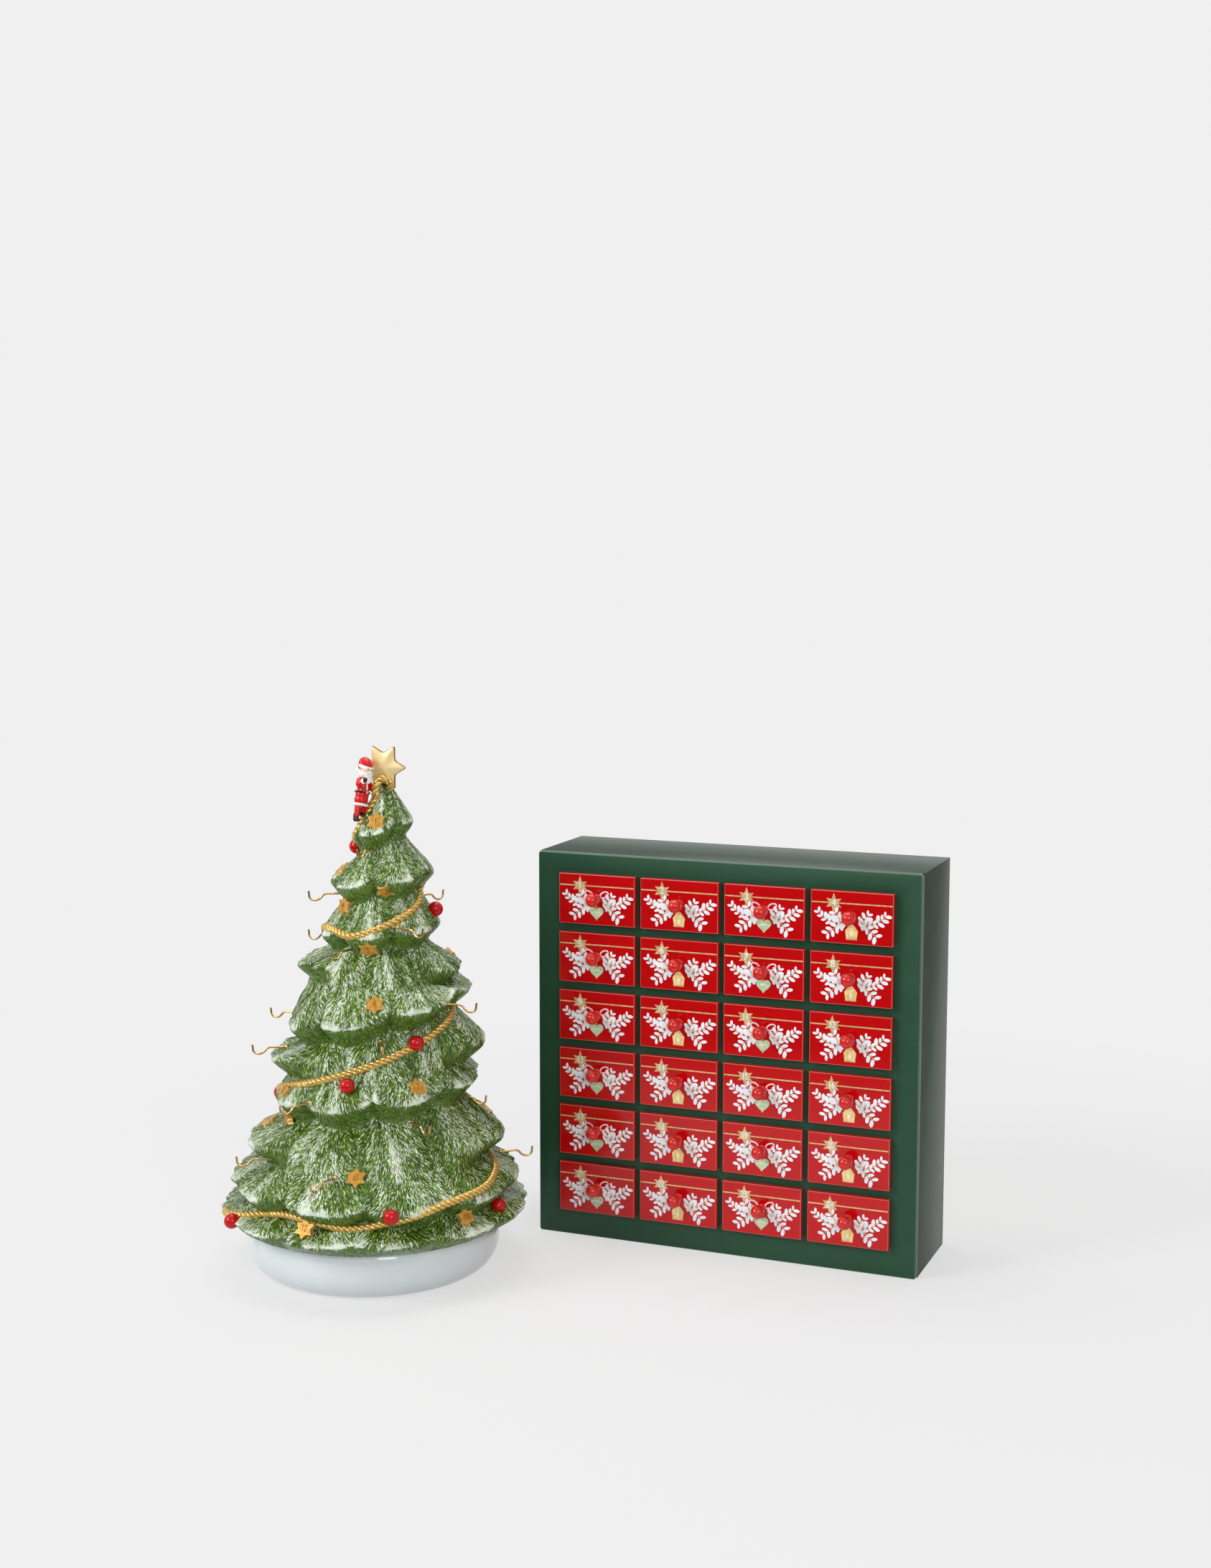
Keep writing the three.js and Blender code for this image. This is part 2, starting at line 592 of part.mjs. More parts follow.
// Father Christmas, climbing the rope's end with his hands on the star. Built of rounded masses, in
// shares of his height, facing -Y; the boots stand one above the other.
function figure() {
  const h = figureHeight;
  const pose = new THREE.Matrix4().makeTranslation(...figurePlace, tipHeight - figureDrop)
    .multiply(new THREE.Matrix4().makeRotationX(-figureLean[0] * degree))
    .multiply(new THREE.Matrix4().makeRotationY(figureLean[1] * degree))
    .multiply(new THREE.Matrix4().makeRotationZ(figureTurn * degree));
  const mass = (x, y, z, wide, deep, high) => solid(new THREE.SphereGeometry(h, 6, 4)
    .rotateX(Math.PI / 2).scale(wide, deep, high).translate(x * h, y * h, z * h).applyMatrix4(pose));
  const limb = (from, to, thick) => {
    const [a, b] = [from, to].map((p) => new THREE.Vector3(...p).multiplyScalar(h));
    const rod = new THREE.CylinderGeometry(thick * h * 0.85, thick * h, a.distanceTo(b), 6);
    const along = b.clone().sub(a).normalize();
    const turn = new THREE.Quaternion().setFromUnitVectors(new THREE.Vector3(0, 1, 0), along);
    const middle = a.add(b).multiplyScalar(0.5);
    return solid(rod.applyQuaternion(turn).translate(middle.x, middle.y, middle.z).applyMatrix4(pose));
  };
  const masses = [
    mass(0, 0, 0.4, 0.125, 0.12, 0.15), // coat skirt
    mass(0, 0, 0.6, 0.12, 0.115, 0.16), // chest
    mass(0, -0.05, 0.73, 0.09, 0.08, 0.11), // beard
    mass(0, -0.01, 0.82, 0.095, 0.095, 0.1), // head
    mass(0, 0.03, 0.89, 0.1, 0.1, 0.11), // cap
    mass(-0.02, 0.12, 0.82, 0.035, 0.035, 0.035), // bobble
    mass(-0.05, -0.03, 0.05, 0.06, 0.085, 0.05), // boots
    mass(0.06, 0, 0.14, 0.055, 0.08, 0.05),
    mass(-0.12, -0.17, 0.68, 0.05, 0.05, 0.055), // gloves
    mass(0.13, -0.17, 0.62, 0.05, 0.05, 0.055),
    limb([-0.05, 0, 0.05], [-0.04, 0, 0.36], 0.07), // legs
    limb([0.06, 0, 0.14], [0.04, 0, 0.36], 0.07),
    limb([-0.12, -0.17, 0.68], [-0.09, 0.02, 0.66], 0.055), // arms
    limb([0.13, -0.17, 0.62], [0.09, 0.02, 0.66], 0.055),
  ];
  return masses.reduce((whole, piece) => whole.add(piece));
}

const tree = new THREE.Group();
tree.position.set(treePlace[0], treePlace[1], 0);
tree.rotation.z = treeTurn * degree;
calendar.add(tree);

place(tree, 'porcelain_base', base(), whiteGlaze);

let casting = treeBody().add(rope(ropeRadius));
for (const [turn, z] of starSpots) casting = casting.add(numberStar(turn * degree, z));
for (const [turn, z] of berrySpots) casting = casting.add(berry(turn * degree, z));
for (const spot of hookSpots) casting = casting.subtract(hookSocket(...spot));
casting = casting.subtract(peg(pegRadius + seatGap, pegLength + seatGap));
place(tree, 'porcelain_tree', geometryOf(casting), greenGlaze);

hookSpots.forEach((spot, i) => {
  place(tree, `hook_${String(i + 1).padStart(2, '0')}`, hookAtSpot(hook(), ...spot), brass);
});

// The star and the figure are bedded on the tip with a seam all round
const tipBed = solid(loft([[onTree(0, rows[8].z, 0)], ...treeRings(seatGap).slice(-4),
  [onTree(0, tipHeight + seatGap, 0)]])).add(rope(ropeRadius + seatGap));
const star = onTip(pillowedStar()).subtract(tipBed).add(peg(pegRadius, pegLength));
place(tree, 'tip_star', geometryOf(star), gold);

const figureSolid = figure().subtract(tipBed).subtract(onTip(pillowedStar(seatGap)));
place(tree, 'climbing_figure', geometryOf(figureSolid), paintedPorcelain);

calendar.updateMatrixWorld(true);
export default calendar;
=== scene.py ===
"""Blender scene of an advent calendar: a porcelain Christmas tree beside a cabinet of 24 drawers."""

import json
import math

import bmesh
import bpy
import numpy as np
from mathutils import Matrix, Vector

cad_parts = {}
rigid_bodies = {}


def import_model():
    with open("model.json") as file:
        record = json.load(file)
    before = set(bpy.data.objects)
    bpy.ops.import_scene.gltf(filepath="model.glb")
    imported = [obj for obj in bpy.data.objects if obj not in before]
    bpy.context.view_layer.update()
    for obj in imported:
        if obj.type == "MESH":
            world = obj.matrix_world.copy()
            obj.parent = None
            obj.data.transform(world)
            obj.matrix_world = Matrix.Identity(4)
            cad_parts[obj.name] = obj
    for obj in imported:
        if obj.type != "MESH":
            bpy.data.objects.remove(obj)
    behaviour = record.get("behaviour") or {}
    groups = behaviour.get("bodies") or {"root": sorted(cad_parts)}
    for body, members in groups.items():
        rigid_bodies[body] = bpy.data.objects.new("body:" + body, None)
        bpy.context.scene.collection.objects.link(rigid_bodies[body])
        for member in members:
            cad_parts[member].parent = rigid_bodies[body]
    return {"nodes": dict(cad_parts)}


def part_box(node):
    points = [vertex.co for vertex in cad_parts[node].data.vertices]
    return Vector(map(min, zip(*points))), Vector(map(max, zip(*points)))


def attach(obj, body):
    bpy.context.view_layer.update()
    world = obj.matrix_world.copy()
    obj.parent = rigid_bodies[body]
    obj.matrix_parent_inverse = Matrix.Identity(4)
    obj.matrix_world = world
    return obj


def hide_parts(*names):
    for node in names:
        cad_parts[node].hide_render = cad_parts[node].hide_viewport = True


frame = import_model()
for spare in ("Cube", "Light", "Camera"):  # of Blender's own first scene
    if spare in bpy.data.objects:
        bpy.data.objects.remove(bpy.data.objects[spare])
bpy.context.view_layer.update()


# Studio: a pale table that runs into a pale background, two soft boxes in front and one overhead.
# The camera stands where the photograph was taken from.

mm = 0.001


def pick(sockets, key):
    """A node's socket by its place, or the one in use that has this name."""
    if isinstance(key, int):
        return sockets[key]
    return next(socket for socket in sockets if socket.name == key and socket.enabled)


def add(tree, kind, inputs=None, **settings):
    """Adds a node to a tree. Each input is given a value, or a socket that it is joined to."""
    made = tree.nodes.new(kind)
    for name, value in settings.items():
        setattr(made, name, value)
    for key, value in (inputs or {}).items():
        socket = pick(made.inputs, key)
        if isinstance(value, bpy.types.NodeSocket):
            tree.links.new(value, socket)
        else:
            socket.default_value = value
    return made


def out(made, key=0):
    return pick(made.outputs, key)


def reckon(tree, operation, *values):
    """The result of a sum with numbers or sockets."""
    return out(add(tree, "ShaderNodeMath", dict(enumerate(values)), operation=operation))


def paint(hexadecimal):
    """A paint's linear colour from its code on a colour card."""
    parts = [int(hexadecimal[i:i + 2], 16) / 255 for i in (0, 2, 4)]
    return (*[c / 12.92 if c < 0.04045 else ((c + 0.055) / 1.055) ** 2.4 for c in parts], 1)


def seen_directly(tree):
    """1 for rays from the camera, in a mirror or through glass, and 0 for light that falls on things."""
    path = add(tree, "ShaderNodeLightPath")
    first = reckon(tree, "MAXIMUM", out(path, "Is Camera Ray"), out(path, "Is Glossy Ray"))
    return reckon(tree, "MAXIMUM", first, out(path, "Is Transmission Ray"))


def mesh_of(name, points, faces=(), edges=()):
    mesh = bpy.data.meshes.new(name)
    mesh.from_pydata([tuple(p) for p in points], edges, faces)
    return mesh


def put_in_scene(name, data):
    made = bpy.data.objects.new(name, data)
    scene.collection.objects.link(made)
    return made


def look_along(thing, direction):
    """Turns a lamp or the camera to a direction."""
    thing.rotation_mode = "QUATERNION"
    thing.rotation_quaternion = direction.to_track_quat("-Z", "Y")


scene = bpy.context.scene
scene.view_settings.view_transform = "Standard"

paper = paint("f0f0f0")
world = bpy.data.worlds.new("studio_air")
world.use_nodes = True
scene.world = world
air = world.node_tree
air.nodes["Background"].inputs["Color"].default_value = paper
ambient_light = 0.42
air_level = add(air, "ShaderNodeMapRange", {"Value": seen_directly(air), "To Min": ambient_light})
air.links.new(out(air_level), air.nodes["Background"].inputs["Strength"])

table_reach, table_drop = 9.0, 0.2 * mm
table_edge = [(table_reach * math.cos(a), table_reach * math.sin(a), -table_drop)
              for a in np.linspace(0, 2 * math.pi, 64, endpoint=False)]
table = put_in_scene("paper_table", mesh_of("paper_table", table_edge, [range(len(table_edge))]))
table_paper = bpy.data.materials.new("table_paper")
table_paper.use_nodes = True
tree = table_paper.node_tree
tree.nodes.clear()
table_spot = out(add(tree, "ShaderNodeTexCoord"), "Object")
from_middle = out(add(tree, "ShaderNodeVectorMath", {0: table_spot}, operation="LENGTH"), "Value")
# Shadows show on the table near the object, and fade out in the plain paper further off
shadow_fade, shadow_end, shadow_share = 0.35, 0.9, 0.32  # metres from the middle, and their strength
near = add(tree, "ShaderNodeMapRange", {"Value": from_middle, "From Min": shadow_fade,
                                        "From Max": shadow_end, "To Min": shadow_share, "To Max": 0.0})
shaded = add(tree, "ShaderNodeBsdfDiffuse", {"Color": paint("e6e6e6")})
# Glossy pieces mirror the paper up to its front edge, and the dark room past it
front_edge, edge_blur = -0.6, 0.12  # metres
mirrored = add(tree, "ShaderNodeMapRange", {
    "Value": out(add(tree, "ShaderNodeSeparateXYZ", {0: table_spot}), "Y"),
    "From Min": front_edge - edge_blur, "From Max": front_edge + edge_blur})
brightness = add(tree, "ShaderNodeMapRange", {
    "Value": out(add(tree, "ShaderNodeLightPath"), "Is Glossy Ray"), "To Min": 1.0, "To Max": out(mirrored)})
plain = add(tree, "ShaderNodeEmission", {"Color": paper, "Strength": out(brightness)})
seen = add(tree, "ShaderNodeMixShader", {0: out(near), 1: out(plain), 2: out(shaded)})
by_ray = add(tree, "ShaderNodeMixShader", {0: seen_directly(tree), 1: out(shaded), 2: out(seen)})
from_below = add(tree, "ShaderNodeMixShader", {
    0: out(add(tree, "ShaderNodeNewGeometry"), "Backfacing"), 1: out(by_ray),
    2: out(add(tree, "ShaderNodeBsdfTransparent"))})
add(tree, "ShaderNodeOutputMaterial", {"Surface": out(from_below)})
table.data.materials.append(table_paper)

object_middle = Vector((-60 * mm, -90 * mm, 200 * mm))
soft_boxes = [  # name, place, width, height, watts
    ("soft_box_left", (-1.9, -2.1, 1.7), 1.1, 1.3, 46),
    ("soft_box_right", (1.5, -2.3, 1.2), 0.8, 1.2, 20),
    ("soft_box_above", (-0.3, 0.3, 2.4), 1.8, 1.2, 26),
]
for name, spot, wide, high, watts in soft_boxes:
    lamp = bpy.data.lights.new(name, "AREA")
    lamp.shape = "RECTANGLE"
    lamp.size, lamp.size_y, lamp.energy = wide, high, watts
    stand = put_in_scene(name, lamp)
    stand.location = spot
    look_along(stand, object_middle - Vector(spot))

photograph_height = 2184
lens_in_pixels = 2954  # of the photograph, found from the cabinet's corners
camera_data = bpy.data.cameras.new("camera")
camera_data.sensor_width = 36
camera_data.lens = camera_data.sensor_width * lens_in_pixels / photograph_height
camera_data.clip_start, camera_data.clip_end = 0.05, 40
camera = put_in_scene("camera", camera_data)
camera.location = (588 * mm, -1765 * mm, 636.65 * mm)
look_along(camera, Vector((-0.3744, 0.9195, -0.1199)))
scene.camera = camera


# Cabinet: a case of 9 mm fibreboard with a 6 mm face panel glued on. Both are sanded soft at the edges
# and sprayed with satin green lacquer, which lies in a fine ripple with faint streaks.

def finish(name, shine=0.25, **values):
    """A material with one shader in plain values. Returns the material, its tree and the shader."""
    material = bpy.data.materials.new(name)
    material.use_nodes = True
    shader = material.node_tree.nodes["Principled BSDF"]
    shader.inputs["Specular IOR Level"].default_value = shine
    for key, value in values.items():
        shader.inputs[key.replace("_", " ").title()].default_value = value
    return material, material.node_tree, shader


def effect(name, **scales):
    """Starts a node group for an effect that several finishes share. Returns it, its input and the place."""
    group = bpy.data.node_groups.new(name, "ShaderNodeTree")
    for label, value in scales.items():
        group.interface.new_socket(
            label.replace("_", " "), in_out="INPUT", socket_type="NodeSocketFloat").default_value = value
    return group, add(group, "NodeGroupInput"), out(add(group, "ShaderNodeTexCoord"), "Object")


def masked(group, **masks):
    """Ends an effect in masks of these names."""
    for label in masks:
        group.interface.new_socket(label, in_out="OUTPUT", socket_type="NodeSocketFloat")
    add(group, "NodeGroupOutput", masks)
    return group


def mottle(tree, place, scale, detail, **values):
    """A cloudy mask over the surface."""
    inputs = {"Vector": place, "Scale": scale, "Detail": detail, **values}
    return out(add(tree, "ShaderNodeTexNoise", inputs), "Fac")


def drawn_out(tree, place, share):
    """A place with only a share of its X, on which a pattern runs along X."""
    return out(add(tree, "ShaderNodeVectorMath", {0: place, 1: (share, 1.0, 1.0)}, operation="MULTIPLY"))


def use(tree, group, *scales):
    """Places an effect in a finish, with its own scales in the order of the effect's inputs."""
    return add(tree, "ShaderNodeGroup", dict(enumerate(scales)), node_tree=group)


def blend_colours(tree, share, *shades):
    """A colour between two shades, each a socket or a paint's code."""
    first, second = (paint(shade) if isinstance(shade, str) else shade for shade in shades)
    return out(add(tree, "ShaderNodeMix", {"Factor": share, "A": first, "B": second}, data_type="RGBA"),
               "Result")


def tint(tree, shader, share, *shades):
    tree.links.new(blend_colours(tree, share, *shades), shader.inputs["Base Color"])


def roughen(tree, shader, share, smooth, rough):
    level = add(tree, "ShaderNodeMapRange", {"Value": share, "To Min": smooth, "To Max": rough})
    tree.links.new(out(level), shader.inputs["Roughness"])


def emboss(tree, shader, height, depth):
    """A surface relief of this depth in metres, where the height runs from 0 to 1."""
    bump = add(tree, "ShaderNodeBump", {"Height": height, "Distance": depth, "Strength": 1.0})
    tree.links.new(out(bump), shader.inputs["Normal"])


def layered(name, group, scales, shades, polish=None, relief=0, **values):
    """A finish shaded by an effect's first mask, polished by one of them and embossed by the second.

    Polish is a mask with the roughness at its low and high end, and relief is a depth in mm.
    """
    made, tree, shader = finish(name, **values)
    masks = use(tree, group, *scales)
    tint(tree, shader, out(masks), *shades)
    if polish:
        mask, smooth, rough = polish
        roughen(tree, shader, out(masks, mask), smooth, rough)
    if relief:
        emboss(tree, shader, out(masks, 1), relief * mm)
    return made


# Streaks along X and a ripple, as of a sprayed coat
tree, scales, place = effect("sprayed_coat", Streak_Scale=60.0, Ripple_Scale=900.0)
sprayed_coat = masked(
    tree,
    Streaks=mottle(tree, drawn_out(tree, place, 0.12), out(scales, "Streak Scale"), 5.0, Roughness=0.6),
    Ripple=mottle(tree, place, out(scales, "Ripple Scale"), 1.0))

satin = {"polish": ("Streaks", 0.32, 0.5), "relief": 0.05, "coat_weight": 0.12, "coat_roughness": 0.2}
green_lacquer = layered(
    "green_lacquer", sprayed_coat, (38.0, 420.0), ("1c402b", "285039"), shine=0.24, **satin)
side_sheen_lacquer = layered(  # greyer, a painted sheen of glancing light on the outer sides
    "green_lacquer_on_edge_grain", sprayed_coat, (38.0, 420.0), ("3c473e", "525e54"), shine=0.1, **satin)
# A lighter green on the eased edges, a painted highlight
edge_highlight_green = layered(
    "green_lacquer_thin", sprayed_coat, (120.0, 900.0), ("3a5b48", "557763"), ("Ripple", 0.25, 0.4),
    shine=0.3)


def piece(name, mesh, body, slot, *materials):
    """A piece of the object in its place, that rides on a body with the finishes given; the slot is not
    used.
    """
    made = put_in_scene(name, mesh)
    for material in materials:
        mesh.materials.append(material)
    mesh.polygons.foreach_set("use_smooth", [True] * len(mesh.polygons))
    mesh.set_sharp_from_angle(angle=math.radians(45))
    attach(made, body)
    return made


def ease_edges(made, width, finish_place=0):
    """Rounds the sharp edges of a flat-sided piece, and gives them one of its finishes."""
    made.data.attributes.remove(made.data.attributes["sharp_edge"])
    bevel = made.modifiers.new("eased_edges", "BEVEL")
    bevel.width, bevel.segments, bevel.angle_limit = width, 3, math.radians(40)
    bevel.limit_method = "WEIGHT" if "bevel_weight_edge" in made.data.attributes else "ANGLE"
    bevel.harden_normals, bevel.material = True, finish_place


def mesh_from(form, name):
    """The mesh of a form made in bmesh, which is freed."""
    mesh = bpy.data.meshes.new(name)
    form.to_mesh(mesh)
    form.free()
    return mesh


glue_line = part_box("cabinet_case")[0].y  # where the face panel meets the case, filled and sprayed over
glue_thick = 0.5 * mm


def board_mesh(node):
    """A merged copy of a wooden board of the model, at rest, with its glued edges kept sharp."""
    source = frame["nodes"][node]
    board = bmesh.new()
    board.from_mesh(source.data)
    board.transform(source.matrix_world)
    bmesh.ops.remove_doubles(board, verts=board.verts, dist=0.01 * mm)
    bmesh.ops.dissolve_limit(board, angle_limit=math.radians(1), verts=board.verts, edges=board.edges)
    for corner in board.verts:
        if abs(corner.co.y - glue_line) < glue_thick:
            corner.co.y = glue_line
    eased = board.edges.layers.float.new("bevel_weight_edge")
    for edge in board.edges:
        glued = all(abs(corner.co.y - glue_line) < 0.01 * mm for corner in edge.verts)
        edge[eased] = 0.0 if glued or edge.calc_face_angle(0) < math.radians(40) else 1.0
    return mesh_from(board, node)


edge_softness = {"cabinet_case": 1.2 * mm, "face_panel": 1.0 * mm}
rim_depth = 1.6 * mm  # from the outer edges, within which a face that doesn't look forward is on a side
for node, softness in edge_softness.items():
    board = board_mesh(node)
    low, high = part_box(node)
    for face in board.polygons:  # the outer sides get a greyer lacquer as a painted sheen
        on_rim = any(min(p - a, b - p) < rim_depth for p, a, b in zip(face.center.xz, low.xz, high.xz))
        face.material_index = 1 if abs(face.normal.y) < 0.5 and on_rim else 0
    lacquered = piece(node + "_lacquered", board, "cabinet", "green_lacquer", green_lacquer, side_sheen_lacquer,
                      edge_highlight_green)
    # The eased edges take the lighter green, a painted highlight
    ease_edges(lacquered, softness, 2)
    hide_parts(node)


# Shelves with their partitions, and back panel: bare 6 mm and 3 mm fibreboard. The back panel is let
# into the case and held by small pan-head screws round its edge.

tree, scales, place = effect("board_fibre", Fibre_Scale=400.0)
board_fibre = masked(
    tree, Fibres=mottle(tree, drawn_out(tree, place, 0.2), out(scales, "Fibre Scale"), 6.0, Distortion=0.4),
    Nap=mottle(tree, place, 2500.0, 2.0))
bare_board = layered(
    "bare_board", board_fibre, (260.0,), ("9a774e", "c2a276"), ("Fibres", 0.7, 0.88), 0.06)

for node in ("back_panel", "shelf_1", "shelf_2", "shelf_3", "shelf_4", "shelf_5"):
    raw = piece(node + "_board", board_mesh(node), "cabinet", "bare_board", bare_board)
    ease_edges(raw, 0.3 * mm)
    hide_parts(node)


def turned(profile, sides):
    """A closed mesh turned on Z from a profile of radius and height in mm, whose ends lie on the axis."""
    form = bmesh.new()
    rings = []
    for radius, z in [(radius * mm, z * mm) for radius, z in profile]:
        count = sides if radius > 0 else 1
        turns = [2 * math.pi * i / sides for i in range(count)]
        rings.append([form.verts.new((radius * math.cos(a), radius * math.sin(a), z)) for a in turns])
    for low, high in zip(rings, rings[1:]):
        for i in range(sides):
            j = (i + 1) % sides
            corners = [low[i % len(low)], low[j % len(low)], high[j % len(high)], high[i % len(high)]]
            form.faces.new(list(dict.fromkeys(corners)))
    bmesh.ops.recalc_face_normals(form, faces=form.faces)
    return mesh_from(form, "turned")


def geometry_tree(name, sizes, **others):
    """Starts a Geometry Nodes tree with named sizes and other inputs. Returns it and its input node."""
    tree = bpy.data.node_groups.new(name, "GeometryNodeTree")
    inputs = {"Geometry": "Geometry", **dict.fromkeys(sizes, "Float"), **others, "Finish": "Material"}
    for label, kind in inputs.items():
        tree.interface.new_socket(label, in_out="INPUT", socket_type="NodeSocket" + kind)
    tree.interface.new_socket("Geometry", in_out="OUTPUT", socket_type="NodeSocketGeometry")
    return tree, add(tree, "NodeGroupInput")


def finished(tree, given, geometry):
    """Ends a Geometry Nodes tree in real geometry with its finish on it."""
    real = add(tree, "GeometryNodeRealizeInstances", {"Geometry": geometry})
    coated = add(tree, "GeometryNodeSetMaterial", {"Geometry": out(real), "Material": out(given, "Finish")})
    add(tree, "NodeGroupOutput", {0: out(coated)})
    return tree


def evaluated(made):
    """The plain mesh of an object with its modifiers. The object itself is taken away."""
    ready = bpy.context.evaluated_depsgraph_get()
    mesh = bpy.data.meshes.new_from_object(made.evaluated_get(ready), depsgraph=ready)
    bpy.data.objects.remove(made)
    return mesh


def grow(mesh, tree, **values):
    """The plain mesh that a Geometry Nodes tree makes of a mesh with these values."""
    made = put_in_scene("growing", mesh)
    modifier = made.modifiers.new("nodes", "NODES")
    modifier.node_group = tree
    for item in tree.interface.items_tree:
        label = item.name.replace(" ", "_")
        if item.in_out == "INPUT" and label in values:
            modifier[item.identifier] = values[label]
    result = evaluated(made)
    result.materials.clear()
    return result


def stored(tree, name, data_type="FLOAT_VECTOR"):
    """A value that is stored at the points of the mesh."""
    return out(add(tree, "GeometryNodeInputNamedAttribute", {"Name": name}, data_type=data_type),
               "Attribute")


def store(mesh, name, values):
    """Stores a number or a vector at each point of a mesh."""
    values = np.array(values, dtype=np.float32)
    data_type, key = ("FLOAT_VECTOR", "vector") if values.ndim > 1 else ("FLOAT", "value")
    mesh.attributes.new(name, data_type, "POINT").data.foreach_set(key, values.ravel())


# Copies of one piece on spots that say which way is out of the surface and which way is up along it
tree, given = geometry_tree("set_on_spots", [], Piece="Object")
faced = add(tree, "FunctionNodeAlignRotationToVector", {"Vector": stored(tree, "spot_out")}, axis="Z")
upright = add(tree, "FunctionNodeAlignRotationToVector", {
    "Rotation": out(faced), "Vector": stored(tree, "spot_up")}, axis="Y", pivot_axis="Z")
copied = add(tree, "GeometryNodeInstanceOnPoints", {
    "Points": out(given, "Geometry"), "Rotation": out(upright),
    "Instance": out(add(tree, "GeometryNodeObjectInfo", {"Object": out(given, "Piece")}), "Geometry")})
set_on_spots = finished(tree, given, out(copied))


def copies(template, spots, material):
    """One mesh of a template's copies on spots, each a point, its outward and its upward direction."""
    pattern = bpy.data.objects.new("pattern", template)
    places, outward, upward = zip(*spots)
    points = mesh_of("spots", places)
    store(points, "spot_out", outward)
    store(points, "spot_up", upward)
    return grow(points, set_on_spots, Piece=pattern, Finish=material)


def lerp(a, b, share):
    return a + (b - a) * share


back_low, back_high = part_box("back_panel")
screw_inset = 5 * mm
screw_columns, screw_rows = 4, 4
screw_profile = [(0, -1.08), (1.71, -1.08), (1.71, 0.09), (1.53, 0.63), (0.99, 0.945), (0.405, 0.99),
                 (0.27, 0.54), (0, 0.54)]
screw_steel, tree, shader = finish("screw_steel", base_color=paint("b9b6ae"), metallic=1.0)
roughen(tree, shader, out(use(tree, sprayed_coat, 900.0, 3000.0), "Streaks"), 0.22, 0.42)
screw_spots = []
for column in range(screw_columns):
    for row in range(screw_rows):
        if column in (0, screw_columns - 1) or row in (0, screw_rows - 1):
            x = lerp(back_low.x + screw_inset, back_high.x - screw_inset, column / (screw_columns - 1))
            z = lerp(back_low.z + screw_inset, back_high.z - screw_inset, row / (screw_rows - 1))
            screw_spots.append(((x, back_high.y, z), (0, 1, 0), (0, 0, 1)))
piece("back_panel_screws", copies(turned(screw_profile, 16), screw_spots, screw_steel), "cabinet",
      "bare_board", screw_steel)


# Drawers: a tray of thin fibreboard behind a 6 mm front with soft edges, sprayed in glossy red. The
# knob is a turned wooden ball on a short waisted neck, dipped in the same red.

drawer_count = 24
front_wide, front_high, front_thick = 72.025 * mm, 44.983 * mm, 6 * mm
tray_wide, tray_high, tray_deep, tray_wall = 65.2 * mm, 38.2 * mm, 84 * mm, 3 * mm
knob_raise = 1.5 * mm  # above the middle of the front

# The eased edges of a front take a lighter red as a painted highlight, and the dipped knob a thick glossy
# coat
red_lacquer = layered(
    "red_lacquer", sprayed_coat, (55.0, 520.0), ("b30205", "c8060a"), ("Streaks", 0.1, 0.2), 0.03,
    shine=0.28, coat_weight=0.25, coat_roughness=0.06)
edge_highlight_red = layered(
    "red_lacquer_thin", sprayed_coat, (160.0, 900.0), ("c92a2a", "e2706c"), ("Ripple", 0.16, 0.3), shine=0.4)
knob_lacquer = layered(
    "knob_lacquer", sprayed_coat, (150.0, 500.0), ("c2100c", "dc2417"), ("Ripple", 0.1, 0.16),
    shine=0.3, coat_weight=0.4, coat_roughness=0.04)


def block(low, high):
    """Corner points and faces of a board between two corners."""
    points = [(x, y, z) for x in (low[0], high[0]) for y in (low[1], high[1]) for z in (low[2], high[2])]
    return points, [(0, 1, 3, 2), (4, 6, 7, 5), (0, 4, 5, 1), (2, 3, 7, 6), (0, 2, 6, 4), (1, 5, 7, 3)]


def tray_mesh():
    """A box open at the top, glued to the back of the front."""
    x, z, wall = tray_wide / 2, tray_high / 2, tray_wall
    points, _ = block((-x, 0, -z), (x, tray_deep, z))
    inner, _ = block((wall - x, wall, wall - z), (x - wall, tray_deep - wall, z))
    outside = [(0, 1, 3, 2), (4, 6, 7, 5), (0, 4, 5, 1), (2, 3, 7, 6), (0, 2, 6, 4)]
    inside = [(8, 10, 11, 9), (12, 13, 15, 14), (8, 9, 13, 12), (10, 14, 15, 11), (8, 12, 14, 10)]
    rim = [(1, 9, 11, 3), (3, 11, 15, 7), (7, 15, 13, 5), (5, 13, 9, 1)]
    return mesh_of("tray", points + inner, outside + inside + rim)


knob_radius, neck_radius, knob_reach = 6, 2.6, 11  # mm
knob_profile = [(0, 1), (4.2, 1), (4.2, -0.5), (3.4, -1.1), (neck_radius, -2.2), (neck_radius, -3.6),
                (2.9, -5)]
knob_steps = 16
for step in range(knob_steps + 1):
    turn = math.radians(30 + 150 * step / knob_steps)
    knob_profile.append((knob_radius * math.sin(turn) if step < knob_steps else 0,
                         knob_radius * math.cos(turn) - knob_reach))
knob_mesh = turned(knob_profile, 32)
knob_mesh.transform(Matrix.Translation((0, -front_thick, knob_raise)) @ Matrix.Rotation(math.pi / 2, 4, "X")
                    @ Matrix.Scale(-1, 4, (0, 0, 1)))
knob_mesh.flip_normals()

drawer_places = {}
for number in range(1, drawer_count + 1):
    name = f"drawer_{number:02d}"
    low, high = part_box(name)
    drawer_places[name] = Vector(((low.x + high.x) / 2, high.y - tray_deep, (low.z + high.z) / 2))


def in_drawer(mesh, name):
    """A copy of a mesh that is drawn round the middle of a front's back, put into one drawer."""
    placed = mesh.copy()
    placed.transform(Matrix.Translation(drawer_places[name]))
    return placed


